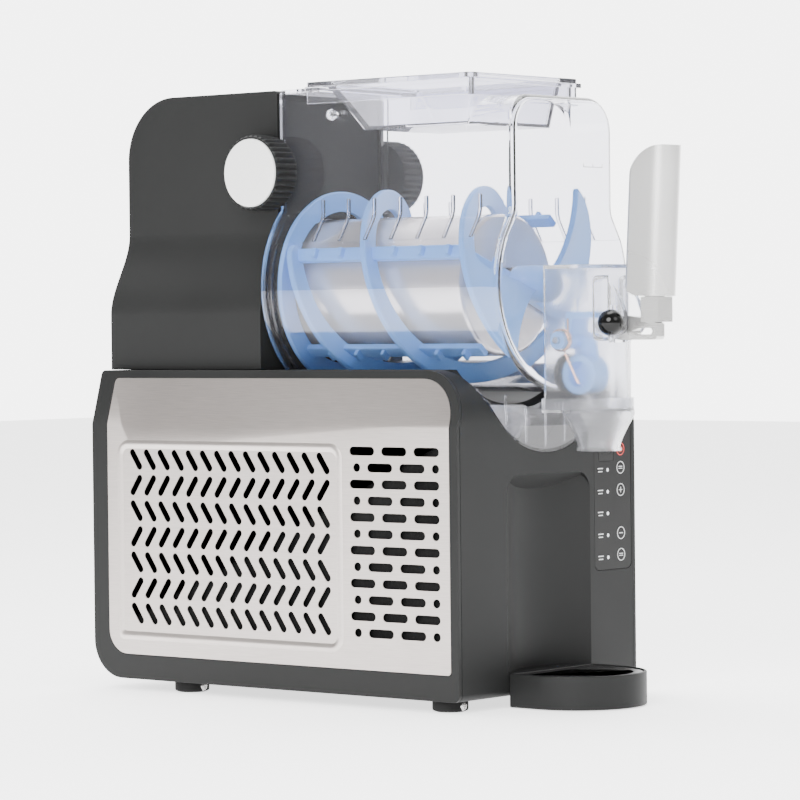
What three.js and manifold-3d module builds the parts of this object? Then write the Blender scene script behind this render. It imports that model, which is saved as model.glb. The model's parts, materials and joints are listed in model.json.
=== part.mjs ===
// A counter-top slush machine: a freezing drum and auger in a clear bowl, over a base that holds
// the cooling plant. Millimetres, +Z up, the front faces -Y and the left side is at -X. Lengths
// along Y are measured from the plane 12 mm behind the front wall; the whole group is centred last.
import * as THREE from "three";
import { mergeVertices } from "three/addons/utils/BufferGeometryUtils.js";
import Module from "manifold-3d";

const wasm = await Module();
wasm.setup();

// ---------------------------------------------------------------- driving dimensions

const GAP = 0.3; // between pieces that touch
const SLIDE_GAP = 0.5; // between pieces that slide past each other
const FAR = 600; // longer than the machine, for cutters

const BASE = {
  half: 101.2,
  lean: 11.2,
  leanHeight: 39.5,
  bottom: 8,
  top: 234.5,
  front: -12,
  rear: 336.8,
  wall: 3,
  lowFrontRadius: 5,
  lowRearRadius: 28,
  topFrontRadius: 36,
  topRearRadius: 3,
};
const COVER_THICK = 3.2;
const PANEL = {
  front: BASE.front + 7,
  rear: BASE.rear - 15.3,
  bottom: BASE.bottom + 18,
  top: BASE.top - 5.5,
  recess: 1.2,
  topFrontRadius: 30,
  lowRearRadius: 18,
  smallRadius: 3,
};
const VENT_WINDOW = {
  front: BASE.front + 112,
  rear: BASE.rear - 35.8,
  bottom: BASE.bottom + 39,
  top: BASE.top - 56.5,
};
const LOUVRE = { rows: 12, front: BASE.front + 16, pitchZ: 11.5, height: 5.6, long: 22.6, dot: 6.4, gap: 6.5 };

// The bowl's barrel, which the drum, the auger and the tap are sized from.
const BARREL = { radius: 76, rear: 184, sunk: 16.9 };
const AXIS_Z = BASE.top - BARREL.sunk + BARREL.radius; // the line of the drum, auger and barrel
const BOWL = {
  wall: 3,
  front: -28.3,
  rear: BARREL.rear,
  hopperHalf: BARREL.radius - 18.3,
  shoulderTop: AXIS_Z + BARREL.radius * 0.65,
  shoulderLow: AXIS_Z + BARREL.radius * 0.413,
  top: AXIS_Z + BARREL.radius + 54.9,
  cornerRadius: 24,
  flangeRadius: BARREL.radius + 5.5,
  flangeThick: 4,
  rimFront: 8,
};
BOWL.flangeHalf = BOWL.hopperHalf + 1.8;
BOWL.rimTop = BOWL.top + 11.5;
const LID = {
  half: BOWL.hopperHalf + 3.3,
  front: BOWL.rimFront - 3,
  rear: BOWL.rear - 25.8,
  bottom: BOWL.top + GAP,
  top: BOWL.rimTop + 4,
  wall: 2.5,
  dishFloor: BOWL.rimTop - 31,
};
const OUTLET = { radius: 11, z: AXIS_Z - BARREL.radius + 13.4 };

const DRUM = { radius: BARREL.radius - 25.2, front: 23.5, rear: BARREL.rear + 21, wall: 2, flangeThick: 2 };
DRUM.flange = DRUM.radius + 7.2;
const SHAFT = { radius: 6, front: -12, rear: DRUM.rear + 31, play: 0.3 };
const AUGER = {
  outer: BARREL.radius - 5.7,
  inner: DRUM.radius + 4.7,
  thick: 5,
  ringFront: BARREL.rear - 10,
  ringRear: BARREL.rear - 6,
  lead: 160,
  hubRadius: SHAFT.radius + 7,
  hubFront: SHAFT.front - 10,
  hubRear: 14,
};
const BLADE_STARTS = [
  { at: BARREL.rear - 52.5, from: -96, to: 342, noseFrom: 274 },
  { at: BARREL.rear - 142.5, from: -298, to: 136, noseFrom: 70 },
];
const AUGER_BARS = [68, 140, 248, 320];
const BAR = { inner: DRUM.radius + 6.2, outer: DRUM.radius + 10.7, width: 10 };
const SEAL = { outer: SHAFT.radius + 6, front: AUGER.hubRear + SLIDE_GAP, rear: DRUM.front - GAP };

const TOWER = {
  half: BARREL.radius + 4.4,
  topHalf: BOWL.hopperHalf + 2.3,
  front: BOWL.rear + 2.3,
  rear: BASE.rear - 0.3,
  top: BOWL.rimTop - 0.3,
  wall: 2.6,
  shoulderLow: AXIS_Z - BARREL.radius * 0.245,
  shoulderTop: AXIS_Z + BARREL.radius * 0.545,
  topRearRadius: 46,
  topFrontRadius: 3,
};
const REAR_COVER = {
  half: TOWER.topHalf - 14,
  bottom: BASE.top + 17.5,
  top: TOWER.top - 59.7,
  thick: 1.6,
  ledge: 5,
};

const KNOB = {
  y: TOWER.front + 5.7,
  z: TOWER.top - 59.7,
  radius: BARREL.radius * 0.362,
  inner: TOWER.topHalf + 1.2,
  length: 21.8,
  flutes: 24,
  fluteDepth: 1.2,
};
KNOB.outer = KNOB.inner + KNOB.length;
const KNOB_CAP = { radius: KNOB.radius - 2.9, outer: KNOB.outer + 1.6 };

const TROUGH = { clearance: 3, wall: 3 };
const SUMP = { radius: BARREL.radius + 1.6, z: AXIS_Z - 40.6, depth: 33 };
const SUMP_TRAY = { wall: 2, top: BASE.top - 12.5, arcRadius: BARREL.radius + 12, depth: 29 };
const NICHE = { half: 47.5, depth: 15, bottom: 24, top: BASE.top - 73.5, slope: 11, cornerRadius: 12 };

const TAP = {
  half: 25,
  front: BOWL.front - 47.2,
  bottom: OUTLET.z - 25,
  top: OUTLET.z + 75,
  wall: 2.5,
  cornerRadius: 19,
  notchFace: 12,
  notchDepth: 6.5,
  notchLow: OUTLET.z + 25,
  notchTop: OUTLET.z + 65,
};
const SPOUT = {
  collarHalf: TAP.half + 3.4,
  collarLow: TAP.bottom - 2,
  collarTop: TAP.bottom + 8,
  centreY: TAP.front + 19,
  endRadius: 14.5,
  endZ: TAP.bottom - 28.6,
  wall: 2.2,
};
const SPOUT_NECK = [
  { z: TAP.bottom - 4.5, radius: TAP.half + 0.2 },
  { z: TAP.bottom - 13, radius: 19.6 },
  { z: TAP.bottom - 20, radius: 16 },
  { z: TAP.bottom - 25, radius: 14.8 },
];

const LEVER = { y: TAP.front - 5, z: OUTLET.z + 35 };
const LEVER_PIN = { radius: 2.2, reach: 0.5, head: 2, ballCentre: 5.2, ballRadius: 9 };
const LEVER_BAR = { half: 4.5, front: LEVER.y - 29.5, low: LEVER.z - 12, slotLow: LEVER.z - 8.4 };
const ROLLER = { y: LEVER.y + 20, z: LEVER.z - 1.7, radius: 2.5, half: 8.5 };
const NECK = { front: LEVER.y - 33.5, rear: LEVER.y - 19, half: 8.5 };
const HANDLE = {
  half: 13,
  rear: 19,
  wall: 2.5,
  centreY: LEVER.y - 26.3,
  bottom: LEVER.z + 17.6,
  length: 103.4,
  lean: 3.2,
  topRadius: 28,
  lowRadius: 11,
};
const VALVE = { y: BOWL.front - 8.3, z: OUTLET.z + 23, half: 9, bossRadius: 6, pinRadius: 2.4 };
const VALVE_LOOP = { y: BOWL.front - 18.2, z: OUTLET.z - 1, outer: 13.6, inner: 9, webHalf: 1.5 };
const VALVE_PAD = { radius: OUTLET.radius + 3, thick: 2.6 };
const SPRING = { inner: 6.5, outer: 8.3, from: -17.5, to: -12.6, wire: 0.8 };

const DRIP = { half: 47, straight: -37.5, bottom: 0.6, top: 24, wall: 2.5, floor: 3, grilleDrop: 1 };
const GRILLE = { thick: 2, bars: 9, slot: 4, pitch: 9, slant: 35, hole: 6 };
const FOOT = { x: BASE.half - 17.2, front: BASE.front + 22, rear: BASE.rear - 82.8, radius: 12.5, bevel: 1.5 };
const FOOT_SCREW = { radius: 3.3, z: 4.2, length: 3 };

const CONTROLS = {
  left: BASE.half - 48.2,
  right: BASE.half - 5.2,
  bottom: BASE.top - 145,
  top: BASE.top - 37.5,
  thick: 0.8,
  radius: 5,
};
const DISPLAY = {
  left: CONTROLS.left + 5.5,
  right: CONTROLS.left + 22.5,
  bottom: CONTROLS.top - 30,
  top: CONTROLS.top - 10,
};

// ---------------------------------------------------------------- materials

function finish(colour, roughness, metalness = 0, opacity = 1) {
  return new THREE.MeshStandardMaterial({
    color: colour,
    roughness,
    metalness,
    opacity,
    transparent: opacity < 1,
  });
}

const BLACK = finish(0x3c3d3c, 0.5);
const STEEL = finish(0xcdc6c2, 0.35, 0.9);
const BLUE = finish(0x8cb4eb, 0.45);
const CLEAR = finish(0xe4e4ee, 0.08, 0, 0.25);
const FROSTED = finish(0xdcdfe8, 0.35, 0, 0.45);
const SILVER = finish(0xc9c8c7, 0.35, 0.8);
const CAP_WHITE = finish(0xe8e8e6, 0.3);
const GLOSS_BLACK = finish(0x161616, 0.15);
const PANEL_BLACK = finish(0x2b2b2b, 0.3);
const RUBBER = finish(0x202020, 0.8);
const COPPER = finish(0xb98a6a, 0.35, 0.9);
const MACHINE_BLACK = finish(0x1c1d1e, 0.45, 0.2);
const ALUMINIUM = finish(0xb8babb, 0.4, 0.8);
const BOARD_GREEN = finish(0x2e5d3a, 0.6);
const WHITE_PLASTIC = finish(0xe9e9e6, 0.4);

// ---------------------------------------------------------------- solids

// The closed solid of a geometry, turned the right way out if it came inside out.
function solid(geometry) {
  const bare = geometry.clone();
  bare.deleteAttribute("normal");
  bare.deleteAttribute("uv");
  const merged = mergeVertices(bare, 1e-4);
  const triVerts = new Uint32Array(merged.index.array);
  const vertProperties = new Float32Array(merged.attributes.position.array);
  if (signedVolume(vertProperties, triVerts) < 0) {
    for (let i = 0; i < triVerts.length; i += 3) {
      [triVerts[i + 1], triVerts[i + 2]] = [triVerts[i + 2], triVerts[i + 1]];
    }
  }
  return new wasm.Manifold(new wasm.Mesh({ numProp: 3, vertProperties, triVerts }));
}

function signedVolume(vertices, triangles) {
  const corner = (i) => new THREE.Vector3().fromArray(vertices, 3 * triangles[i]);
  let total = 0;
  for (let i = 0; i < triangles.length; i += 3) {
    total += corner(i).dot(corner(i + 1).cross(corner(i + 2)));
  }
  return total / 6;
}

function geometryOf(body) {
  const mesh = body.getMesh();
  const geometry = new THREE.BufferGeometry();
  geometry.setAttribute("position", new THREE.BufferAttribute(mesh.vertProperties, 3));
  geometry.setIndex(new THREE.BufferAttribute(mesh.triVerts, 1));
  geometry.computeVertexNormals();
  return geometry;
}

const machine = new THREE.Group();

function addPart(name, body, material) {
  const mesh = new THREE.Mesh(geometryOf(body), material);
  mesh.name = name;
  machine.add(mesh);
}

function join(...bodies) {
  return bodies.reduce((all, body) => all.add(body));
}

function cut(body, ...cutters) {
  return cutters.reduce((left, cutter) => left.subtract(cutter), body);
}

function box([x0, x1], [y0, y1], [z0, z1]) {
  const geometry = new THREE.BoxGeometry(x1 - x0, y1 - y0, z1 - z0);
  return solid(geometry.translate((x0 + x1) / 2, (y0 + y1) / 2, (z0 + z1) / 2));
}

// Points of a closed outline through corners [u, v, radius], with an arc at each rounded corner.
function outlinePoints(corners, steps = 4) {
  return corners.flatMap(([u, v, radius = 0], i) => {
    const corner = new THREE.Vector2(u, v);
    if (radius <= 0) return [corner];
    const [u0, v0] = corners[(i + corners.length - 1) % corners.length];
    const [u1, v1] = corners[(i + 1) % corners.length];
    const back = new THREE.Vector2(u0, v0).sub(corner).normalize();
    const ahead = new THREE.Vector2(u1, v1).sub(corner).normalize();
    const half = Math.acos(back.dot(ahead)) / 2;
    const middle = back.clone().add(ahead).normalize();
    const centre = corner.clone().addScaledVector(middle, radius / Math.sin(half));
    const start = corner.clone().addScaledVector(back, radius / Math.tan(half)).sub(centre);
    const turn = (Math.PI - 2 * half) * Math.sign(start.cross(middle.clone().negate()));
    const zero = new THREE.Vector2();
    return Array.from({ length: steps + 1 }, (_, k) =>
      start.clone().rotateAround(zero, (turn * k) / steps).add(centre),
    );
  });
}

function circlePoints(u, v, radius, steps = 16) {
  return Array.from({ length: steps }, (_, k) => {
    const angle = (2 * Math.PI * k) / steps;
    return new THREE.Vector2(u + radius * Math.cos(angle), v + radius * Math.sin(angle));
  });
}

function extrude(outlines, depth) {
  const shapes = outlines.map((points) => new THREE.Shape(points));
  return new THREE.ExtrudeGeometry(shapes, { depth, bevelEnabled: false });
}

// (Y, Z) outlines drawn out along X.
function eachAlongX(outlines, from, to) {
  const turn = new THREE.Matrix4().makeBasis(
    new THREE.Vector3(0, 1, 0),
    new THREE.Vector3(0, 0, 1),
    new THREE.Vector3(1, 0, 0),
  );
  return solid(extrude(outlines, to - from).applyMatrix4(turn).translate(from, 0, 0));
}

function alongX(points, from, to) {
  return eachAlongX([points], from, to);
}

// An (X, Z) outline drawn out along Y.
function alongY(points, from, to) {
  return solid(extrude([points], to - from).rotateX(Math.PI / 2).translate(0, to, 0));
}

// An (X, Y) outline drawn out along Z.
function alongZ(points, from, to) {
  return solid(extrude([points], to - from).translate(0, 0, from));
}

function rodX(radius, from, to, y, z, steps = 16) {
  return alongX(circlePoints(y, z, radius, steps), from, to);
}

function rodY(radius, from, to, x = 0, z = AXIS_Z, steps = 28) {
  return alongY(circlePoints(x, z, radius, steps), from, to);
}

function rodZ(radius, from, to, x, y, steps = 16) {
  return alongZ(circlePoints(x, y, radius, steps), from, to);
}

// A profile of [radius, y] points turned about the machine's axis.
function turned(profile, steps = 28) {
  const points = profile.map(([r, y]) => new THREE.Vector2(r, y));
  return solid(new THREE.LatheGeometry(points, steps).translate(0, 0, AXIS_Z));
}

// A solid through rings of points, closed by a fan at each end.
function loft(rings) {
  const count = rings[0].length;
  const positions = rings.flat().flatMap((point) => point.toArray());
  const index = [];
  rings.slice(1).forEach((_, i) => {
    for (let j = 0; j < count; j += 1) {
      const a = i * count + j;
      const b = i * count + ((j + 1) % count);
      index.push(a, b, b + count, a, b + count, a + count);
    }
  });
  const last = (rings.length - 1) * count;
  for (let j = 1; j < count - 1; j += 1) {
    index.push(0, j + 1, j, last, last + j, last + j + 1);
  }
  const geometry = new THREE.BufferGeometry();
  geometry.setAttribute("position", new THREE.Float32BufferAttribute(positions, 3));
  geometry.setIndex(index);
  return solid(geometry);
}

function tube(points, radius, sides = 8) {
  const path = new THREE.CatmullRomCurve3(points.map((p) => new THREE.Vector3(...p)));
  const section = new THREE.Shape(circlePoints(0, 0, radius, sides));
  const settings = { steps: 5 * (points.length - 1), bevelEnabled: false, extrudePath: path };
  return solid(new THREE.ExtrudeGeometry(section, settings));
}

function mirrored(body) {
  return solid(geometryOf(body).scale(-1, 1, 1));
}

function radians(degrees) {
  return (degrees * Math.PI) / 180;
}

// ---------------------------------------------------------------- base

function baseOutline(inset) {
  const front = BASE.front + inset;
  const rear = BASE.rear - inset;
  const low = BASE.bottom + inset;
  const top = BASE.top - inset;
  return outlinePoints([
    [front, low, Math.max(BASE.lowFrontRadius - inset, 1)],
    [rear, low, BASE.lowRearRadius - inset],
    [rear, top, Math.max(BASE.topRearRadius - inset, 0)],
    [front, top, BASE.topFrontRadius - inset],
  ]);
}

// Across the machine: upright sides to the crease, leaning inwards above it.
function baseSection(inset) {
  const above = BASE.top + 5;
  const crease = BASE.top - BASE.leanHeight;
  const half = BASE.half - inset;
  const topHalf = half - (BASE.lean * (above - crease)) / BASE.leanHeight;
  return [
    [-half, 0],
    [half, 0],
    [half, crease],
    [topHalf, above],
    [-topHalf, above],
    [-half, crease],
  ].map(([x, z]) => new THREE.Vector2(x, z));
}

function acrossBase(inset) {
  return alongY(baseSection(inset), BASE.front - 5, BASE.rear + 5);
}

const troughRadius = BOWL.flangeRadius + TROUGH.clearance;
const troughRear = TOWER.front - GAP;

// The U-shaped pocket in the front wall that holds the condensate tray.
function sumpShape(radius, front, rear) {
  const disc = rodY(radius, front, rear, 0, SUMP.z);
  const above = box([-radius, radius], [front, rear], [SUMP.z, BASE.top + 10]);
  return join(disc, above);
}

function nicheShape(grow) {
  const arcRadius = (NICHE.half ** 2 + NICHE.depth ** 2) / (2 * NICHE.depth);
  const centreY = BASE.front + NICHE.depth - arcRadius;
  const low = NICHE.bottom - grow;
  const half = NICHE.half + grow;
  const bowed = rodZ(arcRadius + grow, low, NICHE.top + grow, 0, centreY, 48);
  const front = outlinePoints([
    [-half, low, 0],
    [half, low, 0],
    [half, NICHE.top + grow, NICHE.cornerRadius + grow],
    [-half, NICHE.top + grow, NICHE.cornerRadius + grow],
  ]);
  const side = [
    [BASE.front - FAR, low],
    [BASE.front + NICHE.depth + grow, low],
    [BASE.front + NICHE.depth + grow, NICHE.top - NICHE.slope + grow],
    [BASE.front, NICHE.top + grow],
    [BASE.front - FAR, NICHE.top + grow],
  ].map(([y, z]) => new THREE.Vector2(y, z));
  return bowed
    .intersect(alongY(front, BASE.front - 1, BASE.front + FAR))
    .intersect(alongX(side, -FAR, FAR));
}

const deckHole = { half: 42, front: TOWER.front + 27.7, rear: TOWER.rear - 30.5 };

function makeBaseShell() {
  const innerHalf = COVER_THICK + GAP;
  const outer = alongX(baseOutline(0), -FAR, FAR).intersect(acrossBase(innerHalf));
  const hollow = alongX(baseOutline(BASE.wall), -FAR, FAR);
  const troughSkin = rodY(troughRadius + TROUGH.wall, BASE.front, troughRear + TROUGH.wall);
  const sumpRear = BASE.front + SUMP.depth;
  const sumpSkin = sumpShape(SUMP.radius + BASE.wall, BASE.front, sumpRear + BASE.wall);
  const skins = join(troughSkin, sumpSkin, nicheShape(BASE.wall)).intersect(outer);
  const controls = controlOutline(GAP);
  const deck = [BASE.top - 2 * BASE.wall, BASE.top + 1];
  return cut(
    join(cut(outer, hollow), skins),
    rodY(troughRadius, BASE.front - 1, troughRear),
    sumpShape(SUMP.radius, BASE.front - 1, sumpRear),
    nicheShape(0),
    alongY(controls, BASE.front - 1, BASE.front + CONTROLS.thick + GAP),
    box([-deckHole.half, deckHole.half], [deckHole.front, deckHole.rear], deck),
    inletShape(GAP),
  );
}

function panelOutline(inset) {
  const front = PANEL.front + inset;
  const rear = PANEL.rear - inset;
  const low = PANEL.bottom + inset;
  const top = PANEL.top - inset;
  return outlinePoints([
    [front, low, PANEL.smallRadius],
    [rear, low, PANEL.lowRearRadius - inset],
    [rear, top, PANEL.smallRadius],
    [front, top, PANEL.topFrontRadius - inset],
  ]);
}

// A louvre row holds three long slots, or a dot, two long slots and a dot.
function louvreRow(row) {
  const { front, pitchZ, height, long, dot, gap } = LOUVRE;
  const z = VENT_WINDOW.bottom + 5 + row * pitchZ;
  const slot = (from, length) => outlinePoints([
    [from, z - height / 2],
    [from + length, z - height / 2],
    [from + length, z + height / 2],
    [from, z + height / 2],
  ]);
  const pitch = long + gap;
  if (row % 2) return [0, 1, 2].map((i) => slot(front + i * pitch, long));
  const second = front + dot + gap;
  return [slot(front, dot), slot(second, long), slot(second + pitch, long), slot(second + 2 * pitch, dot)];
}

const louvreRear = LOUVRE.front + 3 * LOUVRE.long + 2 * LOUVRE.gap;

function makeSideCover() {
  const side = box([-FAR, 0], [-FAR, FAR], [-FAR, FAR]);
  const plate = cut(alongX(baseOutline(0), -FAR, FAR).intersect(acrossBase(0)), acrossBase(COVER_THICK));
  const recess = cut(alongX(panelOutline(0), -FAR, 0), acrossBase(PANEL.recess));
  const { front, rear, bottom, top } = VENT_WINDOW;
  return cut(
    plate.intersect(side),
    recess,
    box([-FAR, 0], [front, rear], [bottom, top]),
    box([-FAR, 0], [LOUVRE.front - 1, louvreRear + 1], [bottom, top + LOUVRE.height]),
  );
}

function makeVentPanel() {
  const sheet = cut(acrossBase(GAP), acrossBase(PANEL.recess - GAP));
  const blank = alongX(panelOutline(GAP), -FAR, 0).intersect(sheet);
  const slots = Array.from({ length: LOUVRE.rows }, (_, row) => louvreRow(row)).flat();
  return cut(blank, eachAlongX(slots, -BASE.half - 5, -BASE.half + 5));
}

function makeCondensateTray() {
  const front = BASE.front + 0.5;
  const rear = front + SUMP_TRAY.depth;
  const crescent = (radius, from, to) =>
    cut(sumpShape(radius, from, to), rodY(SUMP_TRAY.arcRadius, from - 1, to + 1));
  const below = box([-FAR, FAR], [-FAR, FAR], [0, SUMP_TRAY.top]);
  const block = crescent(SUMP.radius - GAP, front, rear).intersect(below);
  const hollow = sumpShape(SUMP.radius - GAP - SUMP_TRAY.wall, front + SUMP_TRAY.wall, rear - SUMP_TRAY.wall);
  const rounded = alongX(baseOutline(0.5), -FAR, FAR);
  return cut(block, hollow).intersect(rounded);
}

// ---------------------------------------------------------------- tower

function towerSection(inset) {
  const half = TOWER.half - inset;
  const topHalf = TOWER.topHalf - inset;
  const low = BASE.top + GAP;
  const steps = 5;
  const shoulder = Array.from({ length: steps + 1 }, (_, i) => {
    const share = i / steps;
    const ease = share * share * (3 - 2 * share);
    const z = TOWER.shoulderLow + share * (TOWER.shoulderTop - TOWER.shoulderLow);
    return new THREE.Vector2(half + (topHalf - half) * ease, z);
  });
  const right = [new THREE.Vector2(half, low), ...shoulder, new THREE.Vector2(topHalf, TOWER.top + 5)];
  const left = right.map((p) => new THREE.Vector2(-p.x, p.y)).reverse();
  return [...right, ...left];
}

function towerOutline(inset, low) {
  return outlinePoints([
    [TOWER.front + inset, low, 0],
    [TOWER.rear - inset, low, 0],
    [TOWER.rear - inset, TOWER.top - inset, TOWER.topRearRadius - inset],
    [TOWER.front + inset, TOWER.top - inset, TOWER.topFrontRadius],
  ]);
}

function towerBody(inset, low) {
  const across = alongY(towerSection(inset), TOWER.front + inset, TOWER.rear - inset);
  return across.intersect(alongX(towerOutline(inset, low), -FAR, FAR));
}

function makeTower() {
  const { half, bottom, top, thick, ledge } = REAR_COVER;
  return cut(
    towerBody(0, BASE.top + GAP),
    towerBody(TOWER.wall, BASE.top - 5),
    rodY(DRUM.radius + SLIDE_GAP, TOWER.front - 1, TOWER.front + TOWER.wall + 1),
    box([ledge - half, half - ledge], [TOWER.rear - 10, TOWER.rear + 1], [bottom + ledge, top - ledge]),
    box([-half, half], [TOWER.rear - thick - GAP, TOWER.rear + 1], [bottom, top]),
  );
}

function makeRearCover() {
  const { half, bottom, top, thick } = REAR_COVER;
  const plate = box(
    [GAP - half, half - GAP],
    [TOWER.rear - thick, TOWER.rear],
    [bottom + GAP, top - GAP],
  );
  const pitch = 10;
  const louvres = Array.from({ length: 8 }, (_, i) =>
    box([-32, 32], [TOWER.rear - 5, TOWER.rear + 5], [bottom + 25 + i * pitch, bottom + 29 + i * pitch]),
  );
  return cut(plate, ...louvres);
}

function knobProfile() {
  return Array.from({ length: 2 * KNOB.flutes }, (_, i) => {
    const angle = (Math.PI * i) / KNOB.flutes;
    const radius = KNOB.radius - (i % 2) * KNOB.fluteDepth;
    return new THREE.Vector2(KNOB.y + radius * Math.cos(angle), KNOB.z + radius * Math.sin(angle));
  });
}

function makeKnob() {
  const body = alongX(knobProfile(), -KNOB.outer, -KNOB.inner);
  return cut(body, rodX(KNOB_CAP.radius + GAP, -KNOB.outer - 1, -KNOB.outer + 2, KNOB.y, KNOB.z, 24));
}

function makeKnobCap() {
  return rodX(KNOB_CAP.radius, -KNOB_CAP.outer, -KNOB.outer + 2 - GAP, KNOB.y, KNOB.z, 24);
}

// ---------------------------------------------------------------- bowl and lid

// The barrel's circle below, the narrower hopper above, joined by slanted shoulders.
function bowlOutline(inset, steps = 28) {
  const radius = BARREL.radius - inset;
  const drop = AXIS_Z - BOWL.shoulderLow;
  const start = Math.atan2(-drop, Math.sqrt(radius ** 2 - drop ** 2));
  const sweep = -Math.PI - 2 * start;
  const barrel = Array.from({ length: steps + 1 }, (_, k) => {
    const angle = start + (sweep * k) / steps;
    return [radius * Math.cos(angle), AXIS_Z + radius * Math.sin(angle)];
  });
  const half = BOWL.hopperHalf - inset;
  const top = BOWL.top - inset;
  const corner = BOWL.cornerRadius - inset;
  return outlinePoints([
    ...barrel,
    [-half, BOWL.shoulderTop],
    [-half, top, corner],
    [half, top, corner],
    [half, BOWL.shoulderTop],
  ]);
}

function flangeOutline(inset) {
  const radius = BOWL.flangeRadius - inset;
  const half = BOWL.flangeHalf - inset;
  const meet = Math.sqrt(radius ** 2 - half ** 2);
  const start = Math.atan2(meet, half);
  const steps = 28;
  const round = Array.from({ length: steps + 1 }, (_, k) => {
    const angle = start - ((Math.PI + 2 * start) * k) / steps;
    return [radius * Math.cos(angle), AXIS_Z + radius * Math.sin(angle)];
  });
  return outlinePoints([...round, [-half, BOWL.rimTop - inset, 4], [half, BOWL.rimTop - inset, 4]]);
}

function makeBowl() {
  const { wall, front, rear, hopperHalf, rimFront, rimTop } = BOWL;
  const flangeFront = rear - BOWL.flangeThick;
  const openRear = LID.rear - 8;
  const skin = join(
    alongY(bowlOutline(0), front, rear),
    box([-hopperHalf, hopperHalf], [rimFront, rear], [BOWL.shoulderTop + 10, rimTop]),
    alongY(flangeOutline(0), flangeFront, rear),
  );
  const inner = hopperHalf - wall;
  return cut(
    skin,
    alongY(bowlOutline(wall), front + wall, rear + 1),
    box([-inner, inner], [rimFront + wall, rear + 1], [BOWL.shoulderTop + 10, rimTop - wall]),
    box([-inner, inner], [rimFront + wall, openRear], [BOWL.shoulderTop + 10, rimTop + 1]),
    rodY(OUTLET.radius, front - 1, front + wall + 1, 0, OUTLET.z, 24),
  );
}

function makeBowlGasket() {
  const rear = TOWER.front - GAP;
  const ring = alongY(flangeOutline(1), BOWL.rear + GAP, rear);
  return cut(ring, alongY(flangeOutline(7), BOWL.rear, rear + 1));
}

function rectangle(half, front, rear, z) {
  return [
    [-half, front, z],
    [half, front, z],
    [half, rear, z],
    [-half, rear, z],
  ].map((p) => new THREE.Vector3(...p));
}

function dishShape(inset, top) {
  const { half, front, rear, dishFloor } = LID;
  const floor = rectangle(half - 17 - inset, front + 13 + inset, rear - 40.2 - inset, dishFloor + inset);
  return loft([floor, rectangle(half - 10 - inset, front + 9.5 + inset, rear - 13.2 - inset, top)]);
}

function makeLid() {
  const { half, front, rear, bottom, top, wall } = LID;
  const edge = outlinePoints([
    [-half, front, 4],
    [half, front, 4],
    [half, rear, 4],
    [-half, rear, 4],
  ]);
  const underside = BOWL.rimTop + SLIDE_GAP;
  const under = box(
    [-BOWL.hopperHalf - SLIDE_GAP, BOWL.hopperHalf + SLIDE_GAP],
    [BOWL.rimFront - SLIDE_GAP, rear + 1],
    [bottom - 1, underside],
  );
  const skirt = cut(alongZ(edge, bottom, top), under);
  return cut(join(skirt, dishShape(0, underside + 1)), dishShape(wall, top + 1));
}

function makeLidStud() {
  const x = -BOWL.hopperHalf - GAP;
  const [y, z] = [BOWL.rear - 53, BOWL.top - 8.9];
  const knob = new THREE.SphereGeometry(4, 8, 5).translate(x - 5, y, z);
  return join(solid(knob), rodX(2.4, x - 5, x, y, z, 12));
}

// ---------------------------------------------------------------- drum, shaft and auger

function makeDrum() {
  const { radius, front, rear, wall, flange, flangeThick } = DRUM;
  const bore = SHAFT.radius + SHAFT.play;
  const seat = TOWER.front + TOWER.wall + GAP;
  return turned([
    [bore, front],
    [radius - 1, front],
    [radius, front + 1],
    [radius, seat],
    [flange, seat],
    [flange, seat + flangeThick],
    [radius, seat + flangeThick],
    [radius, rear],
    [radius - wall, rear],
    [radius - wall, front + wall],
    [bore, front + wall],
    [bore, front],
  ]);
}

function ringY(inner, outer, from, to, steps = 20) {
  return turned([
    [inner, from],
    [outer, from],
    [outer, to],
    [inner, to],
    [inner, from],
  ], steps);
}

function makeEvaporatorCoil() {
  const radius = DRUM.radius - DRUM.wall - 4;
  const turns = 4;
  const perTurn = 8;
  const first = DRUM.front + 14;
  const pitch = 32;
  const points = Array.from({ length: turns * perTurn + 1 }, (_, i) => {
    const angle = (2 * Math.PI * i) / perTurn;
    return [radius * Math.sin(angle), first + (pitch * i) / perTurn, AXIS_Z + radius * Math.cos(angle)];
  });
  const path = new THREE.CatmullRomCurve3(points.map((p) => new THREE.Vector3(...p)));
  const section = new THREE.Shape(circlePoints(0, 0, 3, 4));
  const settings = { steps: turns * 9, bevelEnabled: false, extrudePath: path };
  return solid(new THREE.ExtrudeGeometry(section, settings));
}

// A point at an angle from the top, turning towards the left side.
function aroundAxis(radius, degrees, y) {
  const angle = radians(degrees);
  return new THREE.Vector3(-radius * Math.sin(angle), y, AXIS_Z + radius * Math.cos(angle));
}

// A blade winds forwards round the drum. Past the drum's front it reaches in to the hub.
function helicalBlade({ at, from, to, noseFrom }) {
  const step = 17;
  const ring = (inner, degrees) => {
    const y = at - (AUGER.lead * degrees) / 360;
    const [front, rear] = [y - AUGER.thick / 2, y + AUGER.thick / 2];
    return [
      aroundAxis(inner, degrees, front),
      aroundAxis(AUGER.outer, degrees, front),
      aroundAxis(AUGER.outer, degrees, rear),
      aroundAxis(inner, degrees, rear),
    ];
  };
  const stretch = (inner, first, last) => {
    const count = Math.ceil((last - first) / step);
    return Array.from({ length: count + 1 }, (_, i) => ring(inner, first + ((last - first) * i) / count));
  };
  const hubReach = AUGER.hubRadius - 4;
  return loft([...stretch(AUGER.inner, from, noseFrom), ...stretch(hubReach, noseFrom + 1, to)]);
}

function augerBar(degrees) {
  const front = BLADE_STARTS[1].at - (AUGER.lead * BLADE_STARTS[1].noseFrom) / 360 + 2.9;
  const bar = box([-BAR.width / 2, BAR.width / 2], [front, AUGER.ringRear], [BAR.inner, BAR.outer]);
  const turn = geometryOf(bar).rotateY(-radians(degrees)).translate(0, 0, AXIS_Z);
  return solid(turn);
}

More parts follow.
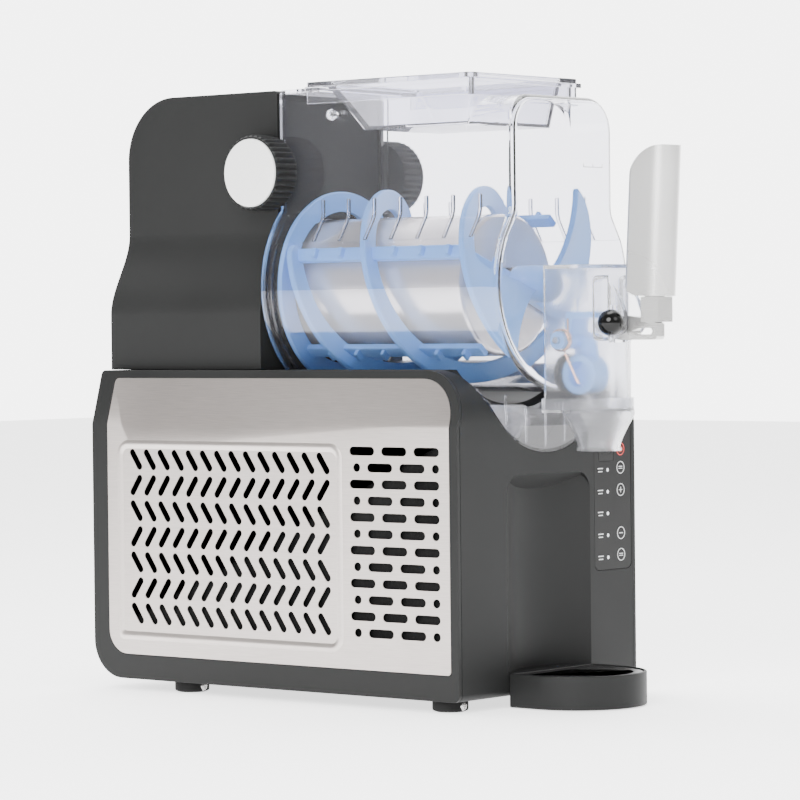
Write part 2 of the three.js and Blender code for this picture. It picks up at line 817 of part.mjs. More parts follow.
// Spokes carry the bars on the hub in front of the drum.
function augerSpoke(degrees) {
  const rear = DRUM.front - 1.5;
  const spoke = box([-5, 5], [rear - 7, rear], [0, BAR.outer]);
  return solid(geometryOf(spoke).rotateY(-radians(degrees)).translate(0, 0, AXIS_Z));
}

function makeAuger() {
  const hub = turned([
    [0, AUGER.hubFront],
    [7, AUGER.hubFront],
    [AUGER.hubRadius, AUGER.hubFront + 6],
    [AUGER.hubRadius, AUGER.hubRear],
    [0, AUGER.hubRear],
  ], 16);
  const spokes = AUGER_BARS.map(augerSpoke);
  const clearSeal = rodY(SEAL.outer + SLIDE_GAP, AUGER.hubRear, FAR, 0, AXIS_Z, 16);
  const bore = rodY(SHAFT.radius + GAP, SHAFT.front - GAP, FAR, 0, AXIS_Z, 12);
  const whole = join(
    ringY(AUGER.inner, AUGER.outer, AUGER.ringFront, AUGER.ringRear, 28),
    ...BLADE_STARTS.map(helicalBlade),
    ...AUGER_BARS.map(augerBar),
    hub,
    ...spokes,
  );
  return cut(whole, clearSeal, bore);
}

function makeShaft() {
  return rodY(SHAFT.radius, SHAFT.front, SHAFT.rear, 0, AXIS_Z, 12);
}

// ---------------------------------------------------------------- tap

function tapPlan(inset, rear) {
  const half = TAP.half - inset;
  return outlinePoints([
    [-half, TAP.front + inset, TAP.cornerRadius - inset],
    [half, TAP.front + inset, TAP.cornerRadius - inset],
    [half, rear, 0],
    [-half, rear, 0],
  ], 5);
}

function tapBlock(inset, bottom, rear) {
  const top = TAP.top - inset;
  const body = alongZ(tapPlan(inset, rear), bottom, top);
  const notch = (from, to) =>
    box([from, to], [TAP.front - 20, TAP.front + TAP.notchDepth + inset], [TAP.notchLow - inset, TAP.notchTop + inset]);
  const face = TAP.notchFace - inset;
  return cut(body, notch(-TAP.half - 5, -face), notch(face, TAP.half + 5));
}

function earOutline() {
  const { y, z } = LEVER;
  return outlinePoints([
    [TAP.front + 1, z - 14, 0],
    [TAP.front + 1, TAP.notchTop - 2, 0],
    [y - 3.5, z + 16, 4],
    [y - 7.5, z + 5, 3],
    [y - 7.5, z - 6.5, 5],
    [y, z - 9, 3],
  ]);
}

function makeTapHousing() {
  const rear = BOWL.front - GAP;
  const face = TAP.notchFace;
  const inner = TAP.notchFace - 4.2;
  const ears = join(alongX(earOutline(), -face, -inner), alongX(earOutline(), inner, face));
  const shell = cut(tapBlock(0, TAP.bottom, rear), tapBlock(TAP.wall, TAP.bottom - 5, rear + 5));
  const slot = LEVER_BAR.half + 1.2;
  return cut(
    join(shell, ears),
    box([-slot, slot], [TAP.front - 20, TAP.front + TAP.wall + 2], [LEVER.z - 14, LEVER.z + 12]),
    rodX(LEVER_PIN.radius + GAP, -FAR, FAR, LEVER.y, LEVER.z),
  );
}

function spoutRing(inset, z, radius, points = 16) {
  return Array.from({ length: points }, (_, k) => {
    const angle = (2 * Math.PI * k) / points;
    const r = radius - inset;
    return new THREE.Vector3(r * Math.cos(angle), SPOUT.centreY + r * Math.sin(angle), z);
  });
}

// The funnel starts as the housing's plan, here a circle grown to its size, and narrows to the end.
function makeSpout() {
  const rear = BOWL.front - GAP;
  const grow = SPOUT.collarHalf - TAP.half;
  const collar = alongZ(tapPlan(-grow, rear), SPOUT.collarLow, SPOUT.collarTop);
  const seat = alongZ(tapPlan(-GAP, rear + 1), TAP.bottom - GAP, SPOUT.collarTop + 1);
  const funnel = (inset, low, high) =>
    loft([
      spoutRing(inset, low, SPOUT.endRadius),
      ...[...SPOUT_NECK].reverse().map(({ z, radius }) => spoutRing(inset, z, radius)),
      spoutRing(inset, high, TAP.half),
    ]);
  const outer = funnel(0, SPOUT.endZ, SPOUT.collarLow + 1);
  const inner = funnel(SPOUT.wall, SPOUT.endZ - 1, TAP.bottom + 1);
  return cut(join(collar, outer), seat, inner);
}

function makeLeverBar() {
  const { y, z } = LEVER;
  const { half, front, low, slotLow } = LEVER_BAR;
  const slotTop = slotLow + 4.4;
  const side = outlinePoints([
    [front, low, 2],
    [y + 3, low, 3],
    [ROLLER.y + 3.6, ROLLER.z - 4, 2],
    [ROLLER.y + 3.6, ROLLER.z + 3, 2],
    [y + 5, z + 4.5, 2],
    [y - 6, z + 4.5, 2],
    [front + 6, z + 2, 2],
    [front, z - 1, 2],
  ], 3);
  const slot = outlinePoints([
    [front + 4, slotLow, 1.5],
    [y - 9, slotLow, 1.5],
    [y - 9, slotTop, 1.5],
    [front + 4, slotTop, 1.5],
  ], 2);
  const plug = alongZ(handlePlan(HANDLE.wall + GAP), 1, 15);
  const neck = join(
    box([-NECK.half, NECK.half], [NECK.front, NECK.rear], [LEVER.z, HANDLE.bottom - GAP]),
    box([-4, 4], [NECK.front + 3, NECK.rear], [LEVER.z, HANDLE.bottom + 3]),
    leaned(plug),
  );
  return cut(
    join(alongX(side, -half, half), neck),
    alongX(slot, -FAR, FAR),
    rodX(LEVER_PIN.radius + GAP, -FAR, FAR, y, z),
    rodX(ROLLER.radius + GAP, -FAR, FAR, ROLLER.y, ROLLER.z, 16),
  );
}

// A D in plan: round at the front, flat at the rear.
function handlePlan(inset) {
  const half = HANDLE.half - inset;
  const steps = 10;
  const nose = Array.from({ length: steps + 1 }, (_, k) => {
    const angle = Math.PI + (Math.PI * k) / steps;
    return new THREE.Vector2(half * Math.cos(angle), half * Math.sin(angle));
  });
  const rear = HANDLE.rear - inset;
  return [...nose, new THREE.Vector2(half, rear), new THREE.Vector2(-half, rear)];
}

function handleBody(inset, low, high) {
  const rear = HANDLE.rear - inset;
  const side = outlinePoints([
    [-HANDLE.half - 1, low, 0],
    [rear, low, inset ? 0 : HANDLE.lowRadius],
    [rear, high, HANDLE.topRadius - inset],
    [-HANDLE.half - 1, high, 0],
  ], 5);
  return alongZ(handlePlan(inset), low, high).intersect(alongX(side, -FAR, FAR));
}

function leaned(body) {
  return solid(geometryOf(body).rotateX(radians(HANDLE.lean)).translate(0, HANDLE.centreY, HANDLE.bottom));
}

function makeHandle() {
  const { length, wall, bottom } = HANDLE;
  const shell = cut(handleBody(0, 0, length), handleBody(wall, -1, length - wall));
  return cut(leaned(shell), box([-FAR, FAR], [-FAR, FAR], [0, bottom]));
}

function makeLeverPin() {
  const { radius, reach, head } = LEVER_PIN;
  const face = TAP.notchFace;
  const washer = rodX(radius + 2, face + GAP, face + head, LEVER.y, LEVER.z);
  return join(rodX(radius, -face - reach, face + head, LEVER.y, LEVER.z), washer);
}

function makePinBall() {
  const { ballCentre, ballRadius, reach } = LEVER_PIN;
  const x = -TAP.notchFace - ballCentre;
  const ball = solid(new THREE.SphereGeometry(ballRadius, 12, 8).translate(x, LEVER.y, LEVER.z));
  return cut(ball, box([-TAP.notchFace - reach - GAP, FAR], [-FAR, FAR], [-FAR, FAR]));
}

function makeRoller() {
  return rodX(ROLLER.radius, -ROLLER.half, ROLLER.half, ROLLER.y, ROLLER.z, 16);
}

function makeValve() {
  const { y, z, half, bossRadius, pinRadius } = VALVE;
  const loop = VALVE_LOOP;
  const top = ROLLER.z + ROLLER.radius + 7;
  const under = top - 4.6;
  const arms = outlinePoints([
    [y - 3.5, z - 4],
    [y + 1, z - 4],
    [y + 0.5, top, 3],
    [ROLLER.y - 1, top, 1],
    [ROLLER.y - 1, under, 1],
    [y - 5, under, 1],
  ], 3);
  const web = outlinePoints([
    [y - 2, z + 3],
    [ROLLER.y + 6, z + 1, 3],
    [loop.y - loop.outer + 2, loop.z],
    [loop.y, loop.z - loop.outer + 3],
    [loop.y + loop.outer - 3, loop.z],
  ], 3);
  const rim = cut(
    rodX(loop.outer, -half, half, loop.y, loop.z),
    rodX(loop.inner, -half - 1, half + 1, loop.y, loop.z),
  );
  const padStem = rodY(4, loop.y + loop.inner + 1, padFront - GAP, 0, OUTLET.z, 16);
  const body = join(
    alongX(arms, -half, half),
    alongX(web, -loop.webHalf, loop.webHalf),
    rim,
    rodX(bossRadius, SPRING.to + GAP, 17, y, z),
    rodX(SPRING.inner - GAP, SPRING.from - 2, SPRING.to + 1, y, z),
    padStem,
  );
  return cut(body, rodX(pinRadius + GAP, -FAR, FAR, y, z, 16));
}

const padRear = BOWL.front - SLIDE_GAP;
const padFront = padRear - VALVE_PAD.thick;

function makeValvePad() {
  return rodY(VALVE_PAD.radius, padFront, padRear, 0, OUTLET.z, 20);
}

function makeValvePin() {
  const reach = TAP.half - TAP.wall - GAP;
  return rodX(VALVE.pinRadius, -reach, reach, VALVE.y, VALVE.z, 16);
}

function makeSpring() {
  const { inner, outer, from, to, wire } = SPRING;
  const { y, z } = VALVE;
  const coil = cut(rodX(outer, from, to, y, z), rodX(inner, from - 1, to + 1, y, z));
  const middle = (inner + outer) / 2;
  const legX = from + wire;
  const upper = tube([[legX, y - middle, z], [legX, y - middle, z + 9], [legX, y + 1, z + 17]], wire, 4);
  const lowX = to - wire;
  const lower = tube([[lowX, y, z - middle], [lowX, y - 13, z - middle - 1], [lowX, y - 13, z - 30]], wire, 4);
  return join(coil, upper, lower);
}

// ---------------------------------------------------------------- drip tray and feet

function dripPlan(inset, steps = 20) {
  const half = DRIP.half - inset;
  const rear = BASE.front - GAP - inset;
  const nose = Array.from({ length: steps + 1 }, (_, k) => {
    const angle = Math.PI + (Math.PI * k) / steps;
    return new THREE.Vector2(half * Math.cos(angle), DRIP.straight + half * Math.sin(angle));
  });
  return [...nose, new THREE.Vector2(half, rear), new THREE.Vector2(-half, rear)];
}

const grilleTop = DRIP.top - DRIP.grilleDrop;

function makeDripTray() {
  const { bottom, top, wall, floor } = DRIP;
  return cut(
    alongZ(dripPlan(0), bottom, top),
    alongZ(dripPlan(wall + 2), bottom + floor, top + 1),
    alongZ(dripPlan(wall), grilleTop - GRILLE.thick - GAP, top + 1),
  );
}

function makeDripGrille() {
  const { thick, bars, slot, pitch, slant, hole } = GRILLE;
  const low = grilleTop - thick;
  const blank = alongZ(dripPlan(DRIP.wall + GAP), low, grilleTop);
  const field = alongZ(dripPlan(DRIP.wall + 7), low - 1, grilleTop + 1);
  const middle = (BASE.front + DRIP.straight - DRIP.half) / 2;
  const cutters = Array.from({ length: bars }, (_, i) => {
    const x = (i - (bars - 1) / 2) * pitch;
    const bar = box([x - slot / 2, x + slot / 2], [-FAR, FAR], [low - 1, grilleTop + 1]);
    return solid(geometryOf(bar).rotateZ(radians(slant)).translate(0, middle, 0));
  });
  const hub = rodZ(hole + 4, low - 2, grilleTop + 2, 0, middle);
  const slots = cut(join(...cutters).intersect(field), hub);
  return cut(blank, slots, rodZ(hole, low - 1, grilleTop + 1, 0, middle));
}

function makeFoot(x, y) {
  const { radius, bevel } = FOOT;
  const points = [
    [0, 0],
    [radius - bevel, 0],
    [radius, bevel],
    [radius, BASE.bottom - GAP],
    [0, BASE.bottom - GAP],
  ].map(([r, z]) => new THREE.Vector2(r, z));
  const post = solid(new THREE.LatheGeometry(points, 10).rotateX(Math.PI / 2).translate(x, y, 0));
  return cut(post, footScrewShape(x, y, GAP, 2));
}

// Each screw goes in through the foot's front face.
function footScrewShape(x, y, grow, proud) {
  const front = y - FOOT.radius;
  const points = circlePoints(x, FOOT_SCREW.z, FOOT_SCREW.radius + grow, 8);
  return alongY(points, front - proud, front + FOOT_SCREW.length + grow);
}

// ---------------------------------------------------------------- controls and inlet

function controlOutline(grow) {
  const { left, right, bottom, top, radius } = CONTROLS;
  return outlinePoints([
    [left - grow, bottom - grow, radius],
    [right + grow, bottom - grow, radius],
    [right + grow, top + grow, radius],
    [left - grow, top + grow, radius],
  ]);
}

function displayBox(grow) {
  const { left, right, bottom, top } = DISPLAY;
  const face = BASE.front + 0.1;
  return box([left - grow, right + grow], [face - grow, face + CONTROLS.thick + grow], [bottom - grow, top + grow]);
}

function makeControlPanel() {
  const face = BASE.front + 0.1;
  return cut(alongY(controlOutline(0), face, face + CONTROLS.thick), displayBox(GAP));
}

const INLET = { x: -60, z: 44, half: 14, halfHeight: 10.5, depth: 24 };

function inletShape(grow) {
  const { x, z, half, halfHeight } = INLET;
  const outer = [BASE.rear - BASE.wall - 1, BASE.rear + 1];
  return box([x - half - grow, x + half + grow], outer, [z - halfHeight - grow, z + halfHeight + grow]);
}

function makeInlet() {
  const { x, z, half, halfHeight, depth } = INLET;
  const shell = box([x - half, x + half], [BASE.rear - depth, BASE.rear], [z - halfHeight, z + halfHeight]);
  const socket = box([x - half + 2.5, x + half - 2.5], [BASE.rear - 16, BASE.rear + 1], [z - 8, z + 8]);
  const pin = (dx) => box([x + dx - 1, x + dx + 1], [BASE.rear - 17, BASE.rear - 3], [z - 2.5, z + 2.5]);
  return join(cut(shell, socket), pin(-7), pin(0), pin(7));
}

// ---------------------------------------------------------------- cooling plant and drive

const COMPRESSOR = { x: 32, y: BASE.rear - 74.8, radius: 44, bottom: BASE.bottom + 16, height: 126 };
COMPRESSOR.top = COMPRESSOR.bottom + COMPRESSOR.height;
const CONDENSER = {
  left: 13.2 - BASE.half,
  right: 37.2 - BASE.half,
  front: BASE.front + 124,
  rear: BASE.rear - 74.8,
  bottom: BASE.bottom + 12,
  top: BASE.bottom + 160,
  fins: 12,
};
const FAN = {
  y: (CONDENSER.front + CONDENSER.rear) / 2,
  z: (CONDENSER.bottom + CONDENSER.top) / 2 - 2,
  radius: 60,
  left: CONDENSER.right + 4,
  right: CONDENSER.right + 28,
};
const GEARBOX = {
  half: 34,
  front: SHAFT.rear - 14,
  rear: SHAFT.rear + 26,
  low: AXIS_Z - 35.6,
  top: AXIS_Z + 36.4,
};
const BRACKET = { half: TOWER.topHalf - 10, front: SHAFT.rear - 22, rear: SHAFT.rear - 17, top: AXIS_Z + 46.4 };
BRACKET.low = BASE.top + 2;
const BEARING = {
  outer: SHAFT.radius + 10,
  front: SHAFT.rear - 25,
  rear: SHAFT.rear - 14.5,
};
const baseFloor = BASE.bottom + BASE.wall;

function makeCompressor() {
  const { x, y, radius, bottom, top } = COMPRESSOR;
  const points = [
    [0, bottom],
    [radius - 6, bottom],
    [radius, bottom + 8],
    [radius, top - 22],
    [radius - 8, top - 6],
    [radius - 22, top],
    [0, top],
  ].map(([r, z]) => new THREE.Vector2(r, z));
  const can = solid(new THREE.LatheGeometry(points, 20).rotateX(Math.PI / 2).translate(x, y, 0));
  const plate = box([x - 50, x + 50], [y - 48, y + 48], [bottom, bottom + 3]);
  return join(can, plate);
}

function makeCompressorMount(dx, dy) {
  return rodZ(9, baseFloor + GAP, COMPRESSOR.bottom - GAP, COMPRESSOR.x + dx, COMPRESSOR.y + dy, 16);
}

function makeCondenser() {
  const { left, right, front, rear, bottom, top, fins } = CONDENSER;
  const gap = 5;
  const pitch = (top - bottom - 8) / fins;
  const slots = Array.from({ length: fins }, (_, i) => {
    const z = bottom + 4 + i * pitch + (pitch - gap) / 2;
    return box([left - 1, right + 1], [front + 5, rear - 5], [z, z + gap]);
  });
  return cut(box([left, right], [front, rear], [bottom, top]), ...slots);
}

function makeFanShroud() {
  const { y, z, radius, left, right } = FAN;
  const reach = radius + 6;
  const frame = box([left, right], [y - reach, y + reach], [z - reach, z + reach]);
  const duct = rodX(radius, left - 1, right + 1, y, z, 24);
  const strut = (a) => {
    const arm = box([right - 3, right], [-3, 3], [0, radius + 2]);
    return solid(geometryOf(arm).rotateX(a).translate(0, y, z));
  };
  const struts = [0, 1, 2].map((i) => strut((2 * Math.PI * i) / 3));
  return join(cut(frame, duct), ...struts, rodX(16, right - 3, right, y, z));
}

function makeFanMotor() {
  const { y, z, right } = FAN;
  return join(rodX(15, right - 12, right - 3 - GAP, y, z), rodX(2, right - 18, right - 10, y, z, 12));
}

function makeFanBlade() {
  const { y, z, radius, left, right } = FAN;
  const hub = cut(rodX(17, left + 2, right - 12 - SLIDE_GAP, y, z), rodX(2 + GAP, -FAR, FAR, y, z, 12));
  const blade = (angle) => {
    const vane = box([-1, 1], [-13, 13], [14, radius - 4]);
    const pitched = geometryOf(vane).rotateZ(radians(28)).translate((left + right) / 2 - 6, 0, 0);
    return solid(pitched.rotateX(angle).translate(0, y, z));
  };
  return join(hub, ...[0, 1, 2, 3, 4].map((i) => blade((2 * Math.PI * i) / 5)));
}

function makeGearMotor() {
  const { half, front, rear, low, top } = GEARBOX;
  const box1 = box([-half, half], [front, rear], [low, top]);
  const motor = rodY(29, rear - 1, rear + 52, 0, AXIS_Z, 20);
  return cut(join(box1, motor), rodY(SHAFT.radius + GAP, front - 1, SHAFT.rear + GAP, 0, AXIS_Z, 12));
}

function makeBracket() {
  const { half, front, rear, low, top } = BRACKET;
  const plate = box([-half, half], [front, rear], [low, top]);
  return cut(plate, rodY(BEARING.outer + GAP, front - 1, rear + 1, 0, AXIS_Z, 20));
}

function makeBearing() {
  return ringY(SHAFT.radius + SHAFT.play, BEARING.outer, BEARING.front, BEARING.rear);
}

function makeControlBoard() {
  const { left, right, bottom, top } = CONTROLS;
  const front = BASE.front + BASE.wall + 4;
  const plate = box([left + 1, right - 2], [front, front + 1.6], [bottom - 5, top - 9]);
  const chip = box([left + 9, left + 25], [front + 1, front + 5], [bottom + 27, bottom + 43]);
  const relay = box([left + 7, left + 31], [front + 1, front + 12], [bottom + 57, bottom + 73]);
  return join(plate, chip, relay);
}

function makeSuctionLine() {
  const { x, y, top } = COMPRESSOR;
  const across = x - 6;
  return tube([
    [x, y - 18, top + 0.5],
    [x, y - 20, top + 30],
    [across, y - 30, GEARBOX.low - 44],
    [across, y - 35, GEARBOX.low - 12],
  ], 4, 6);
}

function makeDischargeLine() {
  const { x, y, radius, bottom } = COMPRESSOR;
  const { left, right, rear, top } = CONDENSER;
  const near = x - radius - 5;
  const far = (left + right) / 2;
  return tube([
    [near, y, bottom + 60],
    [near, y, top - 30],
    [near - 24, y - 6, top + 18],
    [far + 12, rear - 12, top + 22],
    [far, rear - 12, top + 10],
    [far, rear - 12, top + 0.6],
  ], 3, 5);
}

function makeDryer() {
  return rodZ(9, BASE.bottom + 52, BASE.bottom + 122, -40, BASE.rear - 46.8, 16);
}

// ---------------------------------------------------------------- the machine

addPart("base_shell", makeBaseShell(), BLACK);
addPart("left_side_cover", makeSideCover(), BLACK);
addPart("right_side_cover", mirrored(makeSideCover()), BLACK);
addPart("left_vent_panel", makeVentPanel(), STEEL);
addPart("right_vent_panel", mirrored(makeVentPanel()), STEEL);
addPart("condensate_tray", makeCondensateTray(), CLEAR);
addPart("tower_housing", makeTower(), BLACK);
addPart("rear_cover", makeRearCover(), BLACK);
addPart("left_knob", makeKnob(), BLACK);
addPart("right_knob", mirrored(makeKnob()), BLACK);
addPart("left_knob_cap", makeKnobCap(), CAP_WHITE);
addPart("right_knob_cap", mirrored(makeKnobCap()), CAP_WHITE);

addPart("bowl", makeBowl(), CLEAR);
addPart("bowl_gasket", makeBowlGasket(), RUBBER);
addPart("lid", makeLid(), CLEAR);
addPart("lid_stud", makeLidStud(), CLEAR);

addPart("freezing_drum", makeDrum(), STEEL);
addPart("evaporator_coil", makeEvaporatorCoil(), COPPER);
addPart("auger", makeAuger(), BLUE);
addPart("drive_shaft", makeShaft(), STEEL);
addPart("shaft_seal", ringY(SHAFT.radius + SHAFT.play, SEAL.outer, SEAL.front, SEAL.rear), RUBBER);
addPart("shaft_bearing", makeBearing(), STEEL);

addPart("tap_housing", makeTapHousing(), FROSTED);
addPart("tap_spout", makeSpout(), FROSTED);
addPart("lever_bar", makeLeverBar(), SILVER);
addPart("tap_handle", makeHandle(), SILVER);
addPart("lever_pin", makeLeverPin(), STEEL);
addPart("pin_ball", makePinBall(), GLOSS_BLACK);
addPart("lever_roller", makeRoller(), WHITE_PLASTIC);
addPart("tap_valve", makeValve(), BLUE);
addPart("valve_pad", makeValvePad(), RUBBER);
addPart("valve_pin", makeValvePin(), STEEL);
addPart("valve_spring", makeSpring(), COPPER);

addPart("drip_tray", makeDripTray(), BLACK);
addPart("drip_grille", makeDripGrille(), MACHINE_BLACK);
for (const [side, x] of [["left", -FOOT.x], ["right", FOOT.x]]) {
  for (const [end, y] of [["front", FOOT.front], ["rear", FOOT.rear]]) {
    addPart(`foot_${end}_${side}`, makeFoot(x, y), RUBBER);
    addPart(`foot_screw_${end}_${side}`, footScrewShape(x, y, 0, 0.4), STEEL);
  }
}

addPart("control_panel", makeControlPanel(), PANEL_BLACK);
addPart("display_window", displayBox(0), GLOSS_BLACK);
addPart("power_inlet", makeInlet(), MACHINE_BLACK);

addPart("compressor", makeCompressor(), MACHINE_BLACK);
addPart("compressor_mount_front", makeCompressorMount(0, -38), RUBBER);
addPart("compressor_mount_left", makeCompressorMount(-34, 34), RUBBER);
addPart("compressor_mount_right", makeCompressorMount(34, 34), RUBBER);
addPart("condenser", makeCondenser(), ALUMINIUM);
addPart("fan_shroud", makeFanShroud(), MACHINE_BLACK);
addPart("fan_motor", makeFanMotor(), ALUMINIUM);
addPart("fan_blade", makeFanBlade(), MACHINE_BLACK);
addPart("gear_motor", makeGearMotor(), ALUMINIUM);
addPart("motor_bracket", makeBracket(), STEEL);
addPart("control_board", makeControlBoard(), BOARD_GREEN);
addPart("suction_line", makeSuctionLine(), COPPER);
addPart("discharge_line", makeDischargeLine(), COPPER);
addPart("filter_dryer", makeDryer(), COPPER);

const extent = new THREE.Box3().setFromObject(machine);
machine.position.y = -(extent.min.y + extent.max.y) / 2;

export default machine;
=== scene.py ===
"""A counter-top slush machine: the fine surface, materials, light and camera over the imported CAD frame.

Shapes are worked out in millimetres along the machine's own X, Y and Z, with Y measured from the plane
12 mm behind the front wall, and placed in the row frame, in metres, as each mesh is made.
"""

import contextlib
import json
import math

import bmesh
import bpy
from mathutils import Matrix, Vector


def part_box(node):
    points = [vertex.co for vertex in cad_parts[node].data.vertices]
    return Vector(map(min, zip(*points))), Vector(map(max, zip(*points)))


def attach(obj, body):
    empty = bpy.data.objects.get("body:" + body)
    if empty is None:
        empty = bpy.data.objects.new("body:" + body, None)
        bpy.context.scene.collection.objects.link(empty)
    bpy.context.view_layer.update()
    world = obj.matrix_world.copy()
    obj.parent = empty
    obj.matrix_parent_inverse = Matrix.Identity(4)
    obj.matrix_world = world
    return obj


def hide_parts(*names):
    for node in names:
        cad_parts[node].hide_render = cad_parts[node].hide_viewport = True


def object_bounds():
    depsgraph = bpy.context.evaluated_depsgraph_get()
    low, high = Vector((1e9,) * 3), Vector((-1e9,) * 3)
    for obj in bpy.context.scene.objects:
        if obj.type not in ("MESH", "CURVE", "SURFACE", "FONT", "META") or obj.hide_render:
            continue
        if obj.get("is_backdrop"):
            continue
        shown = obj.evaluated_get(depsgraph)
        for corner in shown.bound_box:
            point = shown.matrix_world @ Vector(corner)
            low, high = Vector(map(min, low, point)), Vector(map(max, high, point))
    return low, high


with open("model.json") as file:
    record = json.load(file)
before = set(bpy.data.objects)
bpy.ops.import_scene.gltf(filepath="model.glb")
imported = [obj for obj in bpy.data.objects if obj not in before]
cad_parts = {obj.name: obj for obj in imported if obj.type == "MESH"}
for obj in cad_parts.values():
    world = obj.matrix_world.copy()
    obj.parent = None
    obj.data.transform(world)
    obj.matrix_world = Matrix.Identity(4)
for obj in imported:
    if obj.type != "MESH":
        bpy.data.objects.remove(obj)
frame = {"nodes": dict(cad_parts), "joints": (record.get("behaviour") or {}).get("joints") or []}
cad_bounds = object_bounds()

# ---- sizes, read from the frame

MM = 0.001
FRONT_WALL = -12.0
ORIGIN_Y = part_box("base_shell")[0].y - FRONT_WALL * MM
JOINTS = {joint["name"]: joint for joint in frame["joints"]}


def span(node, axis):
    """(low, high) of a CAD node along an axis, in the machine's millimetres."""
    low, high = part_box(node)
    shift = ORIGIN_Y if axis == 1 else 0.0
    return (low[axis] - shift) / MM, (high[axis] - shift) / MM


def middle(node, axis):
    return sum(span(node, axis)) / 2


def pivot(joint):
    """(Y, Z) of a joint whose axis runs along X, or (X, Z) of one along Y."""
    x, y, z = JOINTS[joint]["pos_m"]
    if abs(JOINTS[joint]["axis"][1]) > 0.5:
        return x / MM, z / MM
    return (y - ORIGIN_Y) / MM, z / MM


WIDE = 300.0  # past everything, for cutters
TIP = 0.01  # a turned shape starts this close to its axis

BASE_HALF = -span("left_side_cover", 0)[0]
BASE_LOW, BASE_TOP = span("base_shell", 2)
BASE_REAR = span("base_shell", 1)[1]
LEAN = 11.2  # how far each side leans in above the crease
LEAN_HEIGHT = 39.5
CREASE = BASE_TOP - LEAN_HEIGHT
COVER_THICK = 3.2

AXIS_Z = pivot("auger_spin")[1]
BOWL_FRONT, BOWL_REAR = span("bowl", 1)
RIM_TOP = span("bowl", 2)[1]
FLANGE_R = span("bowl", 0)[1]
BARREL_R = FLANGE_R - 5.5
HOPPER_HALF = BARREL_R - 18.3
HOPPER_TOP = AXIS_Z + BARREL_R + 54.9
SHOULDER_TOP = AXIS_Z + BARREL_R - 26.6
SHOULDER_LOW = AXIS_Z + BARREL_R - 44.6
BOWL_WALL = 3.0
RISER_HALF = HOPPER_HALF + 1.8

TOWER_FRONT, TOWER_REAR = span("tower_housing", 1)
TOWER_TOP = span("tower_housing", 2)[1]
TOWER_HALF = span("tower_housing", 0)[1]
TOWER_TOP_HALF = HOPPER_HALF + 2.3

LEVER_Y, LEVER_Z = pivot("lever_pull")
VALVE_Y, VALVE_Z = pivot("valve_swing")
KNOB_Y, KNOB_Z = pivot("left_knob_turn")
ROLLER_Y, ROLLER_Z = LEVER_Y + 20, LEVER_Z - 1.7
HANDLE_LOW = LEVER_Z + 17.6
OUTLET_Z = AXIS_Z - BARREL_R + 13.4

PANEL_X, PANEL_Y, PANEL_Z = (span("control_panel", axis) for axis in range(3))
WINDOW_X, WINDOW_Y, WINDOW_Z = (span("display_window", axis) for axis in range(3))
PRINT = (PANEL_Y[0] - 0.18, PANEL_Y[0] + 0.1)
BUTTON_X = PANEL_X[1] - 12
LABEL_DROPS = (36.2, 51.8, 67.4, 83, 98.8)  # down from the panel's top edge

# ---- outlines


def rounded(corners, steps=10):
    """Points of a closed outline through corners (u, v) or (u, v, radius), an arc at each rounded one."""
    points = []
    for i, corner in enumerate(corners):
        here = Vector(corner[:2])
        radius = corner[2] if len(corner) > 2 else 0
        if radius <= 0:
            points.append(tuple(here))
            continue
        back = (Vector(corners[i - 1][:2]) - here).normalized()
        ahead = (Vector(corners[(i + 1) % len(corners)][:2]) - here).normalized()
        half = back.angle(ahead) / 2
        centre = here + (back + ahead).normalized() * radius / math.sin(half)
        start = here + back * radius / math.tan(half) - centre
        sweep = math.pi - 2 * half
        if back.x * ahead.y - back.y * ahead.x > 0:
            sweep = -sweep
        for k in range(steps + 1):
            turned = Matrix.Rotation(sweep * k / steps, 2) @ start
            points.append(tuple(centre + turned))
    return points


def arc(u, v, radius, start, sweep, steps):
    """Points along an arc from a start angle, both ends included."""
    angles = [start + sweep * k / steps for k in range(steps + 1)]
    return [(u + radius * math.cos(a), v + radius * math.sin(a)) for a in angles]


def circle(u, v, radius, steps=48):
    return arc(u, v, radius, 0, 2 * math.pi, steps)[:-1]


def capsule(u, v, length, width, slant, steps=8):
    """A slot with round ends, its long way at a slant in degrees."""
    reach, half = (length - width) / 2, width / 2
    right = arc(reach, 0, half, -math.pi / 2, math.pi, steps)
    left = arc(-reach, 0, half, math.pi / 2, math.pi, steps)
    c, s = math.cos(math.radians(slant)), math.sin(math.radians(slant))
    return [(u + x * c - y * s, v + x * s + y * c) for x, y in right + left]


def rectangle(u0, u1, v0, v1, radius=0):
    return rounded([(u0, v0, radius), (u1, v0, radius), (u1, v1, radius), (u0, v1, radius)])


# ---- solids


def placed(x, y, z):
    return x * MM, y * MM + ORIGIN_Y, z * MM


def linked(data):
    """A new object in the scene around a mesh, curve, lamp or camera."""
    made = bpy.data.objects.new(data.name, data)
    bpy.context.scene.collection.objects.link(made)
    return made


@contextlib.contextmanager
def edited(mesh):
    """A mesh opened for changes, which are written back at the end."""
    build = bmesh.new()
    build.from_mesh(mesh)
    yield build
    build.to_mesh(mesh)
    build.free()


def solid(points, faces):
    """A mesh object from points in the machine's millimetres, with its faces turned outwards."""
    mesh = bpy.data.meshes.new("shape")
    mesh.from_pydata([placed(*p) for p in points], [], faces)
    with edited(mesh) as build:
        bmesh.ops.remove_doubles(build, verts=build.verts, dist=1e-7)
        bmesh.ops.recalc_face_normals(build, faces=build.faces)
        if build.calc_volume(signed=True) < 0:
            bmesh.ops.reverse_faces(build, faces=build.faces)
    return linked(mesh)


def on_axis(axis, u, v, w):
    return {"X": (w, u, v), "Y": (u, w, v), "Z": (u, v, w)}[axis]


